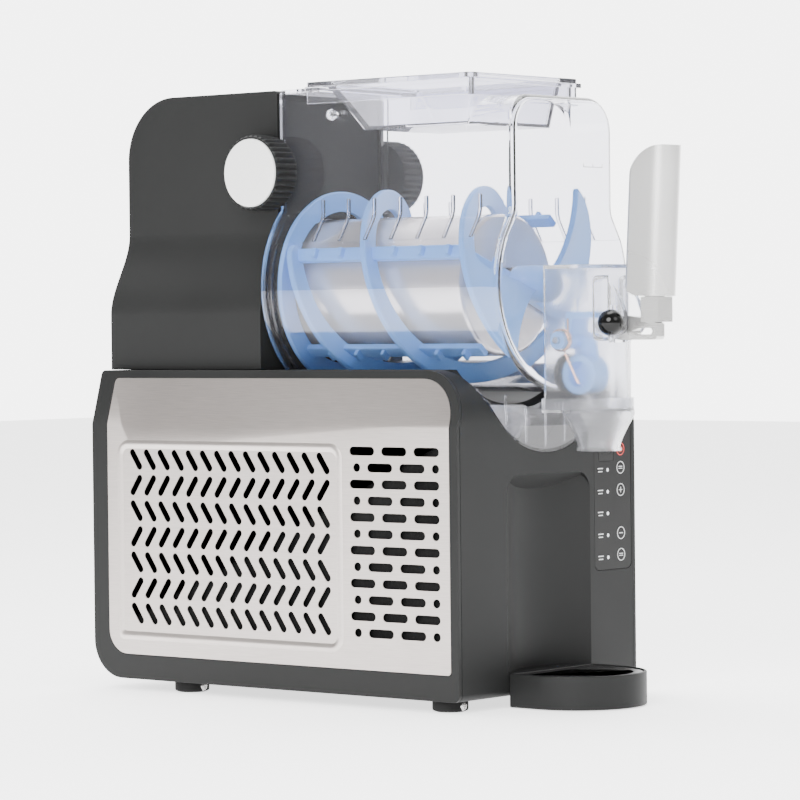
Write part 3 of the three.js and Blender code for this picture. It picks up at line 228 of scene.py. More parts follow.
def loft(rings):
    """A closed solid through rings with the same number of points each."""
    count = len(rings[0])
    points = [p for ring in rings for p in ring]
    faces = [list(range(count)), [len(points) - count + k for k in range(count)]]
    for i in range(len(rings) - 1):
        for k in range(count):
            a, b = i * count + k, i * count + (k + 1) % count
            faces.append([a, b, b + count, a + count])
    return solid(points, faces)


def prism(outline, axis, start, stop):
    return loft([[on_axis(axis, u, v, w) for u, v in outline] for w in (start, stop)])


def rod(axis, radius, start, stop, u, v, steps=40):
    return prism(circle(u, v, radius, steps), axis, start, stop)


def block(x, y, z):
    return prism(rectangle(*x, *y), "Z", *z)


def lathe(profile, axis, u, v, steps=72):
    """A closed profile of (radius, place along the axis) turned about the axis through (u, v)."""
    count = len(profile)
    points = []
    faces = []
    for k in range(steps):
        a = 2 * math.pi * k / steps
        c, s = math.cos(a), math.sin(a)
        points += [on_axis(axis, u + r * c, v + r * s, w) for r, w in profile]
        for i in range(count):
            j = (i + 1) % count
            here, there = k * count, (k + 1) % steps * count
            faces.append([here + i, here + j, there + j, there + i])
    return solid(points, faces)


def hoop(axis, inner, outer, start, stop, u, v, steps):
    return lathe([(inner, start), (outer, start), (outer, stop), (inner, stop)], axis, u, v, steps)


def baked(thing):
    """Applies what modifiers a mesh or curve object has."""
    graph = bpy.context.evaluated_depsgraph_get()
    mesh = bpy.data.meshes.new_from_object(thing.evaluated_get(graph))
    if thing.type == "CURVE":
        bpy.data.objects.remove(thing)
        return linked(mesh)
    thing.modifiers.clear()
    thing.data = mesh
    return thing


def combined(body, operation, *others):
    for other in others:
        change = body.modifiers.new("change", "BOOLEAN")
        change.solver = "MANIFOLD"
        change.operation = operation
        change.object = other
        baked(body)
        bpy.data.objects.remove(other)
    return body


def cut(body, *cutters):
    return combined(body, "DIFFERENCE", *cutters)


def join(body, *others):
    return combined(body, "UNION", *others)


def common(body, *others):
    return combined(body, "INTERSECT", *others)


def softened(body, width, segments=3, angle=32, merge=True):
    """Rounds the sharp edges, after faces in one plane are merged."""
    with edited(body.data) as build:
        bmesh.ops.remove_doubles(build, verts=build.verts, dist=2e-6)
        if merge:
            flat = math.radians(0.6)
            bmesh.ops.dissolve_limit(build, angle_limit=flat, verts=build.verts, edges=build.edges)
    edge = body.modifiers.new("edge", "BEVEL")
    edge.width = width * MM
    edge.segments = segments
    edge.limit_method = "ANGLE"
    edge.angle_limit = math.radians(angle)
    edge.miter_outer = "MITER_ARC"
    edge.use_clamp_overlap = True
    return baked(body)


def drawn(lines, closed, **settings):
    """Lines of points in metres, thickened or filled as the curve settings say, as a mesh."""
    curve = bpy.data.curves.new("line", "CURVE")
    for name, value in settings.items():
        setattr(curve, name, value)
    for points in lines:
        line = curve.splines.new("POLY")
        line.points.add(len(points) - 1)
        line.use_cyclic_u = closed
        for spot, point in zip(line.points, points):
            spot.co = (*point, 1)
    return baked(linked(curve))


def merged(*things):
    """Several mesh objects as one, without joining their surfaces."""
    with edited(things[0].data) as build:
        for thing in things[1:]:
            build.from_mesh(thing.data)
            bpy.data.objects.remove(thing)
    return things[0]


def mirrored(thing):
    """A left-right mirror copy."""
    mesh = thing.data.copy()
    mesh.transform(Matrix.Scale(-1, 4, (1, 0, 0)))
    mesh.flip_normals()
    return linked(mesh)


def turned(thing, axis, degrees, *centre, shift=(0, 0, 0)):
    """A mesh turned about a line along an axis through a point, and then shifted."""
    centre = Vector(placed(*centre))
    turn = Matrix.Rotation(math.radians(degrees), 4, axis)
    thing.data.transform(Matrix.Translation(centre + Vector(shift) * MM) @ turn @ Matrix.Translation(-centre))
    return thing


# ---- materials


NOISE_LOW, NOISE_HIGH = 0.3, 0.7  # where most of the noise lies
EVEN = (1, 1, 1)
FINE = 0.00004


def feed(tree, node, values):
    """Sets a node's sockets, or links those whose value is another node's output."""
    for name, value in values.items():
        if isinstance(value, bpy.types.NodeSocket):
            tree.links.new(value, node.inputs[name])
        else:
            node.inputs[name].default_value = value
    return node


def shader_node(tree, kind, values=None):
    return feed(tree, tree.nodes.new("ShaderNode" + kind), values or {})


def noise_at(tree, stretch, scale, detail):
    """Noise over the object's own coordinates, in metres, stretched along an axis if asked."""
    where = shader_node(tree, "TexCoord").outputs["Object"]
    mapping = shader_node(tree, "Mapping", {"Vector": where, "Scale": stretch})
    sockets = {"Vector": mapping.outputs["Vector"], "Scale": scale, "Detail": detail}
    return shader_node(tree, "TexNoise", sockets).outputs["Fac"]


def ranged(tree, value, low, high):
    limits = {"From Min": NOISE_LOW, "From Max": NOISE_HIGH, "To Min": low, "To Max": high}
    return shader_node(tree, "MapRange", {"Value": value, **limits}).outputs["Result"]


def tinted(tree, value, dark, light):
    ramp = shader_node(tree, "ValToRGB", {"Fac": value})
    for stop, place, colour in zip(ramp.color_ramp.elements, (NOISE_LOW, NOISE_HIGH), (dark, light)):
        stop.position = place
        stop.color = (*colour, 1)
    return ramp.outputs["Color"]


def surface(name, colour, vary, rough, tone, gloss, grain, relief, sockets):
    """A material whose colour, roughness and relief each follow a noise of (stretch, scale, detail)."""
    made = bpy.data.materials.new(name)
    made.use_nodes = True
    tree = made.node_tree
    dark, light = ([min(1, c * share) for c in colour] for share in vary)
    strength, distance = relief
    height = {"Height": noise_at(tree, *grain), "Strength": strength, "Distance": distance}
    feed(
        tree,
        tree.nodes["Principled BSDF"],
        {
            "Base Color": tinted(tree, noise_at(tree, *tone), dark, light),
            "Roughness": ranged(tree, noise_at(tree, *gloss), *rough),
            "Normal": shader_node(tree, "Bump", height).outputs["Normal"],
            **sockets,
        },
    )
    return made


def moulded(
    name, colour, rough, spread=0.06, grain=900, depth=FINE, strength=0.35, metal=0.0, vary=0.06, shine=0.5
):
    """Moulded plastic, rubber or cast metal: a fine grain, and colour and gloss that drift a little."""
    drift, limits = (EVEN, 9, 2), (rough - spread, rough + spread)
    sockets = {"Metallic": metal, "Specular IOR Level": shine}
    relief = (strength, depth)
    return surface(
        name, colour, (1 - vary, 1 + vary), limits, drift, drift, (EVEN, grain, 2), relief, sockets
    )


def brushed(name, colour, rough, stretch, metal=1.0, vary=0.05, scale=60):
    """Metal with fine scratches that run the way that stretch is smallest."""
    lines, limits = (stretch, scale, 4), (rough - 0.04, rough + 0.04)
    sockets = {"Metallic": metal}
    return surface(
        name, colour, (1 - vary, 1 + vary), limits, lines, (EVEN, 5, 2), lines, (0.25, FINE), sockets
    )


def clear(name, colour, rough, index, through, bump):
    """Clear moulding, or milky where it is rougher and less passes straight through."""
    drift, limits = (EVEN, 14, 2), (rough * 0.8, rough * 1.2)
    sockets = {"Transmission Weight": through, "IOR": index}
    return surface(name, colour, (0.985, 1), limits, drift, drift, drift, (bump, 0.0004), sockets)


BLACK = moulded("black_moulding", (0.0120, 0.0123, 0.0122), 0.5, shine=0.17)
COVER_BLACK = moulded("black_cover", (0.0120, 0.0123, 0.0121), 0.46, shine=0.2)
STEEL = brushed("vent_steel", (0.63, 0.575, 0.545), 0.40, (60, 1, 60), vary=0.09)
DRUM_STEEL = brushed("drum_steel", (0.86, 0.82, 0.80), 0.26, (1, 40, 1), metal=0.6, scale=90)
BRIGHT = brushed("bright_steel", (0.68, 0.67, 0.66), 0.25, (30, 30, 1))
CLEAR = clear("clear_moulding", (0.94, 0.94, 0.98), 0.01, 1.52, 0.985, 0.06)
LID_CLEAR = clear("clear_lid", (0.90, 0.90, 0.96), 0.02, 1.52, 0.96, 0.08)
FROSTED = clear("hazy_moulding", (0.95, 0.955, 0.99), 0.20, 1.42, 0.95, 0.1)
BLUE = moulded("blue_moulding", (0.21, 0.47, 1.0), 0.36, grain=700)
SILVER = moulded(
    "silver_finish", (0.66, 0.655, 0.645), 0.30, 0.06, 1300, depth=0.00012, strength=1.0, metal=0.8, vary=0.1
)
CAP = moulded("cap_white", (0.80, 0.80, 0.79), 0.25, vary=0.02)
GLOSS = moulded("gloss_black", (0.004, 0.004, 0.004), 0.09, 0.03, grain=300, strength=0.05, shine=0.22)
PANEL = moulded("panel_film", (0.009, 0.009, 0.009), 0.36, shine=0.2)
RUBBER = moulded("black_rubber", (0.008, 0.008, 0.008), 0.75, grain=1200, strength=0.6, shine=0.2)
# painted shade: a near-black, foam-grained look for the sheet that stands in for the shade inside the base
# behind the vent
SHADE_SHEET = moulded("shade_sheet_black", (0.010, 0.010, 0.010), 0.9, 0.06, 420, 0.0012, 1.0, vary=0.5, shine=0.1)
COPPER = brushed("copper", (0.72, 0.42, 0.28), 0.28, (30, 30, 30), vary=0.12)
GRILLE = moulded("grille_black", (0.010, 0.010, 0.0105), 0.36, shine=0.45)
ENAMEL = moulded("black_enamel", (0.012, 0.012, 0.013), 0.30, metal=0.2)
MOTOR = moulded("motor_casting", (0.22, 0.23, 0.24), 0.5, metal=0.7, grain=500, strength=0.7)
ALUMINIUM = brushed("aluminium", (0.62, 0.63, 0.64), 0.4, (1, 40, 40))
BOARD = moulded("board_green", (0.02, 0.10, 0.035), 0.45, grain=200)
WHITE = moulded("white_moulding", (0.72, 0.72, 0.70), 0.4)
MARK = moulded("mark_white", (0.62, 0.63, 0.63), 0.5, vary=0.02)
LED = moulded("lamp_white", (0.85, 0.87, 0.9), 0.3, vary=0.02)
RED_LAMP = moulded("lamp_red", (0.75, 0.04, 0.03), 0.3, vary=0.05)


def piece(thing, name, body, material, slot, *nodes):
    """Names a finished mesh, gives it its look and its body, and hides the CAD nodes it stands for."""
    thing.name = name
    thing.data.name = name
    thing.data.materials.clear()
    thing.data.materials.append(material)
    thing.data.shade_smooth()
    thing.data.set_sharp_from_angle(angle=math.radians(30))
    even = thing.modifiers.new("even_shading", "WEIGHTED_NORMAL")
    even.keep_sharp = True
    even.weight = 100
    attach(thing, body)
    if nodes:
        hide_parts(*nodes)
    return thing


def pair(left, name, body, material, slot, *nodes):
    """A left-hand piece and its mirror copy, with {} in the names for the side."""
    for side, thing in (("left", left), ("right", mirrored(left))):
        replaced = [node.format(side) for node in nodes]
        piece(thing, f"{name}_{side}", body.format(side), material, slot, *replaced)


# ---- base and covers


def base_outline(inset):
    front, rear = FRONT_WALL + inset, BASE_REAR - inset
    low, top = BASE_LOW + inset, BASE_TOP - inset
    below = [(front, low, max(5 - inset, 1)), (rear, low, 28 - inset)]
    above = [(rear, top, max(3 - inset, 0)), (front, top, 36 - inset)]
    return rounded(below + above, 16)


def base_section(inset):
    above = BASE_TOP + 5
    half = BASE_HALF - inset
    top_half = half - LEAN * (above - CREASE) / LEAN_HEIGHT
    right = [(half, 0), (half, CREASE), (top_half, above)]
    return right + [(-x, z) for x, z in reversed(right)]


def across_base(inset):
    return prism(base_section(inset), "Y", FRONT_WALL - 5, BASE_REAR + 5)


def base_length(inset):
    return prism(base_outline(inset), "X", -WIDE, WIDE)


TROUGH_R = FLANGE_R + 3
TROUGH_REAR = TOWER_FRONT - 0.3
SUMP_R = BARREL_R + 1.6
SUMP_Z = AXIS_Z - 40.6
SUMP_REAR = FRONT_WALL + 33
NICHE_HALF, NICHE_DEPTH = 47.5, 15
NICHE_LOW, NICHE_TOP = 24, BASE_TOP - 73.5


def sump(radius, front, rear):
    half = arc(0, SUMP_Z, radius, math.pi, math.pi, 64)
    return prism([*half, (radius, BASE_TOP + 10), (-radius, BASE_TOP + 10)], "Y", front, rear)


def niche(grow):
    bow = (NICHE_HALF**2 + NICHE_DEPTH**2) / (2 * NICHE_DEPTH)
    deep = FRONT_WALL + NICHE_DEPTH + grow
    half, low, top = NICHE_HALF + grow, NICHE_LOW - grow, NICHE_TOP + grow
    bowed = rod("Z", bow + grow, low, top, 0, deep - grow - bow, 160)
    face = rounded([(-half, low), (half, low), (half, top, 14), (-half, top, 14)])
    before = FRONT_WALL - 40
    side = [(before, low), (deep, low), (deep, top - 11), (FRONT_WALL, top), (before, top)]
    return common(bowed, prism(face, "Y", FRONT_WALL - 1, 200), prism(side, "X", -200, 200))


def base_form(inset):
    """The whole base, its sides set in."""
    return common(base_length(0), across_base(inset))


def make_base():
    inside = COVER_THICK + 0.3
    skins = join(
        rod("Y", TROUGH_R + 3, FRONT_WALL, TROUGH_REAR + 3, 0, AXIS_Z, 128),
        sump(SUMP_R + 3, FRONT_WALL, SUMP_REAR + 3),
        niche(3),
    )
    body = join(cut(base_form(inside), base_length(3)), common(skins, base_form(inside)))
    (x0, x1), (z0, z1) = PANEL_X, PANEL_Z
    seat = rectangle(x0 - 0.4, x1 + 0.4, z0 - 0.4, z1 + 0.4, 5)
    (i0, i1), (j0, j1) = span("power_inlet", 0), span("power_inlet", 2)
    body = cut(
        body,
        rod("Y", TROUGH_R, FRONT_WALL - 1, TROUGH_REAR, 0, AXIS_Z, 128),
        sump(SUMP_R, FRONT_WALL - 1, SUMP_REAR),
        niche(0),
        prism(seat, "Y", FRONT_WALL - 1, FRONT_WALL + 1.1),
        block((i0 - 0.3, i1 + 0.3), (BASE_REAR - 5, BASE_REAR + 1), (j0 - 0.3, j1 + 0.3)),
        block((-42, 42), (TOWER_FRONT + 27.7, TOWER_REAR - 30.5), (BASE_TOP - 6, BASE_TOP + 1)),
    )
    return softened(body, 1.1)


VENT_FACE = BASE_HALF - 0.25
VENT_FRONT, VENT_REAR = span("left_vent_panel", 1)
VENT_LOW, VENT_TOP = span("left_vent_panel", 2)


def panel_outline(inset):
    """The vent panel's outline, a little inside the recess that holds it."""
    front, rear = VENT_FRONT + inset, VENT_REAR - inset
    low, top = VENT_LOW + inset, VENT_TOP - inset
    return rounded([(front, low, 3), (rear, low, 18 - inset), (rear, top, 3), (front, top, 30 - inset)], 16)


def make_cover():
    """The left-hand side cover."""
    plate = cut(base_form(0), across_base(COVER_THICK))
    left = block((-WIDE, 0), (-WIDE, 600), (-100, 600))
    recess = cut(prism(panel_outline(-0.3), "X", -WIDE, 0), across_base(1.2))
    window = block((-WIDE, 0), (FRONT_WALL + 15, BASE_REAR - 35.8), (BASE_LOW + 39, BASE_TOP - 50.9))
    return softened(cut(common(plate, left), recess, window), 1.5, 4)


CHEVRON_ROWS, CHEVRON_COLUMNS = 7, 14
CHEVRON_FRONT, CHEVRON_LOW = FRONT_WALL + 121.5, BASE_LOW + 48.5
CHEVRON_PITCH = (14.04, 18.8)
LOUVRE_ROWS, LOUVRE_LONG, LOUVRE_DOT, LOUVRE_GAP = 12, 22.6, 6.4, 6.5
LOUVRE_FRONT, LOUVRE_LOW, LOUVRE_PITCH = FRONT_WALL + 16, BASE_LOW + 44, 11.5


def vent_slots():
    slots = []
    for row in range(CHEVRON_ROWS):
        slant = -55 if row % 2 else 55
        for column in range(CHEVRON_COLUMNS):
            y = CHEVRON_FRONT + column * CHEVRON_PITCH[0]
            z = CHEVRON_LOW + row * CHEVRON_PITCH[1]
            slots.append(capsule(y, z, 17.6, 5.2, slant))
    pitch = LOUVRE_LONG + LOUVRE_GAP
    for row in range(LOUVRE_ROWS):
        z = LOUVRE_LOW + row * LOUVRE_PITCH
        if row % 2:
            runs = [(LOUVRE_FRONT + i * pitch, LOUVRE_LONG) for i in range(3)]
        else:
            second = LOUVRE_FRONT + LOUVRE_DOT + LOUVRE_GAP
            runs = [
                (LOUVRE_FRONT, LOUVRE_DOT),
                (second, LOUVRE_LONG),
                (second + pitch, LOUVRE_LONG),
                (second + 2 * pitch, LOUVRE_DOT),
            ]
        slots += [capsule(y + length / 2, z, length, 6.2, 0) for y, length in runs]
    return slots


def pressed_sheet(outlines, thick, outer_x):
    """A sheet with holes on the left side, which leans in above the crease as the cover does."""
    lines = [[(y * MM, z * MM, 0) for y, z in outline] for outline in outlines]
    made = drawn(lines, True, dimensions="2D", fill_mode="BOTH", extrude=thick * MM / 2)
    with edited(made.data) as build:
        everything = [*build.verts, *build.edges, *build.faces]
        bmesh.ops.bisect_plane(build, geom=everything, plane_co=(0, CREASE * MM, 0), plane_no=(0, 1, 0))
        bmesh.ops.remove_doubles(build, verts=build.verts, dist=1e-6)
        for corner in build.verts:
            y, z, depth = corner.co
            lean = max(0, z - CREASE * MM) * LEAN / LEAN_HEIGHT
            corner.co = (-(outer_x - thick / 2) * MM + depth + lean, y + ORIGIN_Y, z)
        bmesh.ops.recalc_face_normals(build, faces=build.faces)
    return made


def make_vent():
    return pressed_sheet([panel_outline(0), *vent_slots()], 0.6, VENT_FACE)


def make_vent_frame():
    """The rounded ridge pressed round the slanted slots."""
    y0, y1 = FRONT_WALL + 104, BASE_REAR - 25.5
    z0, z1 = BASE_LOW + 29, BASE_TOP - 51
    crown = ((0, 0.02), (1.0, 0.5), (2.2, 0.85), (3.6, 0.85), (4.8, 0.4), (6.2, 0.02))
    profile = ((0, -0.35), *crown, (6.2, -0.35))
    rings = []
    for inset, depth in profile:
        wide, tight = 11 - inset, 4.5 - inset / 2
        corners = [
            (y0 + inset, z0 + inset, wide),
            (y1 - inset, z0 + inset, tight),
            (y1 - inset, z1 - inset, wide),
            (y0 + inset, z1 - inset, wide),
        ]
        rings.append([(-VENT_FACE - depth, y, z) for y, z in rounded(corners)])
    count = len(rings[0])
    faces = []
    for i in range(len(rings)):
        here, there = i * count, (i + 1) % len(rings) * count
        for k in range(count):
            n = (k + 1) % count
            faces.append([here + k, here + n, there + n, there + k])
    return solid([p for r in rings for p in r], faces)


# ---- tower and knobs


def eased(share):
    """A share from 0 to 1 that leaves and arrives gently."""
    return share * share * (3 - 2 * share)


def tower_section(inset):
    low_z, high_z = AXIS_Z - 18.6, AXIS_Z + 41.4
    half, top_half = TOWER_HALF - inset, TOWER_TOP_HALF - inset
    right = [(half, BASE_TOP + 0.3)]
    for k in range(25):
        share = k / 24
        right.append((half + (top_half - half) * eased(share), low_z + share * (high_z - low_z)))
    right.append((top_half, TOWER_TOP + 5))
    return right + [(-x, z) for x, z in reversed(right)]


def tower_solid(inset, low):
    front, rear, top = TOWER_FRONT + inset, TOWER_REAR - inset, TOWER_TOP - inset
    side = rounded([(front, low), (rear, low), (rear, top, 46 - inset), (front, top, 3)], 24)
    section = prism(tower_section(inset), "Y", front, rear)
    return common(section, prism(side, "X", -200, 200))


def make_tower():
    half = TOWER_TOP_HALF - 14
    low, top = span("rear_cover", 2)
    opening = block((5 - half, half - 5), (TOWER_REAR - 10, TOWER_REAR + 1), (low + 5, top - 5))
    seat = block((-half, half), (TOWER_REAR - 1.9, TOWER_REAR + 1), (low - 0.3, top + 0.3))
    drum = rod("Y", BARREL_R - 24.7, TOWER_FRONT - 1, TOWER_FRONT + 5, 0, AXIS_Z, 96)
    body = cut(tower_solid(0, BASE_TOP + 0.3), tower_solid(2.6, BASE_TOP - 5), opening, seat, drum)
    return softened(body, 2.0, 4)


def make_knob():
    """A fluted grip on the left side, with a seat for its cap."""
    outer, inner = -span("left_knob", 0)[0], -span("left_knob", 0)[1]
    flutes, steps = 36, 8
    stations = [(inner, 25.6, 0), (inner + 0.8, 26.6, 0.5), (inner + 2.2, 27.4, 1)]
    stations += [(outer - 2.6, 27.4, 1), (outer - 0.9, 26.8, 0.6), (outer, 25.8, 0)]
    rings = []
    for x, radius, depth in stations:
        ring = []
        for k in range(flutes * steps):
            a = 2 * math.pi * k / (flutes * steps)
            wave = 0.5 - 0.5 * math.cos(flutes * a)
            r = radius - 1.9 * depth * wave**1.2
            ring.append((-x, KNOB_Y + r * math.cos(a), KNOB_Z + r * math.sin(a)))
        rings.append(ring)
    return cut(loft(rings), rod("X", 24.8, -outer - 1, -outer + 2.2, KNOB_Y, KNOB_Z, 96))


def make_cap():
    face = span("left_knob_cap", 0)[0]
    back = face + 3.2
    profile = [(TIP, face), (22.8, face), (24.0, face + 0.4), (24.5, face + 1.3), (24.5, back), (TIP, back)]
    return lathe(profile, "X", KNOB_Y, KNOB_Z, 96)


# ---- bowl and lid


def bowl_outline(inset, steps=72):
    """The barrel's circle below and the narrower hopper above, run together at the shoulders."""
    radius = BARREL_R - inset
    drop = AXIS_Z - SHOULDER_LOW
    start = math.atan2(-drop, math.sqrt(radius**2 - drop**2))
    barrel = arc(0, AXIS_Z, radius, start, -math.pi - 2 * start, steps)
    half, top = HOPPER_HALF - inset, HOPPER_TOP - inset
    left = [(-half, SHOULDER_TOP, 16), (-half, top, 24 - inset)]
    right = [(half, top, 24 - inset), (half, SHOULDER_TOP, 16)]
    path = rounded([barrel[-2], barrel[-1] + (6,), *left, *right, barrel[0] + (6,), barrel[1]], 8)
    return barrel[2:-2] + path


def flange_outline(steps=72):
    start = math.atan2(math.sqrt(FLANGE_R**2 - RISER_HALF**2), RISER_HALF)
    points = arc(0, AXIS_Z, FLANGE_R, start, -math.pi - 2 * start, steps)
    corners = [points[-1], (-RISER_HALF, RIM_TOP, 4), (RISER_HALF, RIM_TOP, 4), points[0]]
    return points + rounded(corners)[1:-1]


def bowl_solid(inset, front, rear, edge):
    """The bowl's form with a rounded front edge."""
    rings = []
    for k in range(7):
        a = math.pi / 2 * k / 6
        step_in, y = edge * (1 - math.sin(a)), front + edge * (1 - math.cos(a))
        rings.append([(u, y, v) for u, v in bowl_outline(inset + step_in)])
    rings.append([(u, rear, v) for u, v in bowl_outline(inset)])
    return loft(rings)


def gusset(y):
    """A raised rib that follows the left-hand shoulder between barrel and hopper."""
    rib = prism(bowl_outline(-1.9), "Y", y - 1.3, y + 1.3)
    reach = block((-300, 0), (y - 5, y + 5), (SHOULDER_TOP - 17, SHOULDER_TOP + 13))
    rib = common(rib, reach)
    return softened(cut(rib, prism(bowl_outline(0.2), "Y", y - 5, y + 5)), 0.6, 2)


def make_bowl():
    rim_front = HOPPER_HALF - 49.7
    riser_low = SHOULDER_TOP + 10

    def plan(half, front, rear, radius):
        return rounded([(-half, front, radius), (half, front, radius), (half, rear), (-half, rear)])

    inner = HOPPER_HALF - BOWL_WALL
    body = join(
        bowl_solid(0, BOWL_FRONT, BOWL_REAR, 6),
        prism(plan(HOPPER_HALF, rim_front, BOWL_REAR, 5), "Z", riser_low, RIM_TOP),
        prism(flange_outline(), "Y", BOWL_REAR - 4, BOWL_REAR),
    )
    body = cut(
        body,
        bowl_solid(BOWL_WALL, BOWL_FRONT + BOWL_WALL, BOWL_REAR + 1, 1.2),
        prism(plan(inner, rim_front + 3, BOWL_REAR + 1, 3), "Z", riser_low, RIM_TOP - BOWL_WALL),
        prism(rectangle(-inner, inner, rim_front + 3, BOWL_REAR - 33.8, 3), "Z", riser_low, RIM_TOP + 1),
        rod("Y", 11, BOWL_FRONT - 1, BOWL_FRONT + 4, 0, OUTLET_Z),
    )
    return softened(body, 0.7, 2, 40)


def make_gussets():
    left = merged(*[gusset(144 - 24 * i) for i in range(7)])
    return merged(left, mirrored(left))


def make_flange_rings():
    """The stepped ring at the barrel's rear, just in front of the flange."""
    rear = BOWL_REAR - 4
    outer = hoop("Y", BARREL_R, BARREL_R + 2.6, rear - 3, rear, 0, AXIS_Z, 128)
    return common(outer, block((-200, 200), (-200, 400), (0, SHOULDER_LOW)))


def make_lid():
    half = span("lid", 0)[1]
    front, rear = span("lid", 1)
    top = span("lid", 2)[1]
    bottom = HOPPER_TOP + 0.3
    underside = RIM_TOP + 0.5

    def plan(across, y0, y1):
        return rectangle(-across, across, y0, y1, 4)

    def dish(inset, high):
        floor = plan(half - 17 - inset, front + 13 + inset, rear - 40.2 - inset)
        mouth = plan(half - 10 - inset, front + 9.5 + inset, rear - 13.2 - inset)
        levels = ((floor, RIM_TOP - 31 + inset), (mouth, high))
        return loft([[(x, y, z) for x, y in outline] for outline, z in levels])

    skirt = prism(plan(half, front, rear), "Z", bottom, top)
    reach = HOPPER_HALF + 0.5
    under = block((-reach, reach), (front + 2.5, rear + 1), (bottom - 1, underside))
    lip = cut(
        prism(plan(half + 2.5, front - 2.5, rear), "Z", top - 6.4, top - 3.4),
        prism(plan(half - 1.5, front + 1.5, rear + 5), "Z", top - 8, top - 2),
    )
    body = cut(join(cut(skirt, under), lip, dish(0, underside + 1)), dish(2.5, top + 1))
    return softened(body, 0.8, 3)


def make_stud():
    x0, x1 = span("lid_stud", 0)
    head = [(TIP, 0), (2.2, 0.3), (3.6, 1.6), (4.0, 3.4), (3.4, 5.4), (2.4, 6.4)]
    profile = [*((r, x0 + w) for r, w in head), (2.4, x1), (TIP, x1)]
    return lathe(profile, "X", middle("lid_stud", 1), middle("lid_stud", 2), 32)


# ---- drum and auger

AUGER_OUTER, AUGER_INNER, AUGER_LEAD = BARREL_R - 5.7, BARREL_R - 20.5, 160
RING_REAR = BOWL_REAR - 6
BLADES = [  # turns in degrees, and the place along the axis at 0 degrees
    {"first": -96, "nose": 274, "last": 342, "at": BOWL_REAR - 52.5},
    {"first": -298, "nose": 70, "last": 136, "at": BOWL_REAR - 142.5},
]
BAR_ANGLES = (68, 140, 248, 320)
SPOKES = (68, 248)
HUB_FRONT = -22


def around(radius, degrees, y):
    """A point at an angle from the top, turning towards the left side."""
    a = math.radians(degrees)
    return (-radius * math.sin(a), y, AXIS_Z + radius * math.cos(a))


def blade(first, nose, last, at):
    """A helical blade that winds forwards and, past the drum's front, reaches in to the hub."""
    half, soft = 2.5, 1.0
    rings = []
    count = int((last - first) / 3)
    for i in range(count + 1):
        degrees = first + (last - first) * i / count
        reach = min(1, max(0, (degrees - nose) / 14))
        inner = AUGER_INNER - (AUGER_INNER - 9) * eased(reach)
        entry = min(1, (degrees - first) / 10)
        outer = AUGER_OUTER - 6 * (1 - entry) ** 2
        leave = min(1, (last - degrees) / 26)
        inner += (outer - 3 - inner) * (1 - leave)
        rear_side = [(inner, soft - half), (inner + soft, -half), (outer - soft, -half), (outer, soft - half)]
        section = rear_side + [(r, -d) for r, d in reversed(rear_side)]
        y = at - AUGER_LEAD * degrees / 360
        rings.append([around(r, degrees, y + d) for r, d in section])
    return loft(rings)


def auger_bar(degrees):
    """A scraper bar along the drum, with short nubs on its outer face."""
    front = BLADES[1]["at"] - AUGER_LEAD * BLADES[1]["nose"] / 360 + 2.9
    inner, outer = AXIS_Z + BARREL_R - 19, AXIS_Z + BARREL_R - 14.5
    parts = [softened(block((-5, 5), (front, RING_REAR - 0.5), (inner, outer)), 1.0)]
    for k in range(7):
        y = front + 14 + k * 24.8
        parts.append(softened(block((-3.6, 3.6), (y - 1.6, y + 1.6), (outer - 1, outer + 4.2)), 0.7))
    if degrees in SPOKES:
        near = span("freezing_drum", 1)[0] - 1.5
        low = AXIS_Z + 4
        web = rounded([(near - 8, low, 1), (near - 4.5, outer, 2), (near, outer, 1), (near, low, 1)])
        parts.append(softened(prism(web, "X", -5, 5), 1.2))
    return turned(merged(*parts), "Y", -degrees, 0, 0, AXIS_Z)


def make_auger():
    front, rear, outer = BOWL_REAR - 10, RING_REAR, AUGER_OUTER
    band = [(outer - 1, front), (outer, front + 1), (outer, rear - 1), (outer - 1, rear)]
    nose = [(TIP, 0), (4, 0.4), (8.5, 2.4), (11.8, 5.6), (13, 10), (13, 36), (6.4, 36), (6.4, 10), (TIP, 9.7)]
    return merged(
        lathe([(AUGER_INNER, front), *band, (AUGER_INNER, rear)], "Y", 0, AXIS_Z, 128),
        lathe([(r, HUB_FRONT + w) for r, w in nose], "Y", 0, AXIS_Z, 64),
        *[blade(**turns) for turns in BLADES],
        *[auger_bar(a) for a in BAR_ANGLES],
    )


def make_drum():
    front, rear = span("freezing_drum", 1)
    r, bore = BARREL_R - 25.2, 6.6
    flange, seat = r + 7.2, TOWER_FRONT + 2.9
    nose = [(bore, 0), (r - 3.5, 0), (r - 1.8, 0.4), (r - 0.5, 1.6), (r, 3.4)]
    foot = [(r, seat), (flange, seat), (flange, seat + 2), (r, seat + 2), (r, rear), (r - 2, rear)]
    inside = [(r - 2, 4), (r - 4, 2), (bore, 2)]
    nose, inside = ([(radius, front + w) for radius, w in part] for part in (nose, inside))
    return lathe([*nose, *foot, *inside], "Y", 0, AXIS_Z, 144)


# ---- tap

TAP_HALF, TAP_FRONT = 25.0, BOWL_FRONT - 47.2
TAP_LOW, TAP_TOP = span("tap_housing", 2)
TAP_REAR = BOWL_FRONT - 0.3
NOTCH_FACE, NOTCH_REAR = 12.0, TAP_FRONT + 6.5
NOTCH_LOW, NOTCH_TOP = TAP_LOW + 50, TAP_LOW + 90


def tap_plan(inset, rear, radius=19):
    half, front = TAP_HALF - inset, TAP_FRONT + inset
    corner = max(radius - inset, 1)
    return rounded([(-half, front, corner), (half, front, corner), (half, rear), (-half, rear)], 16)


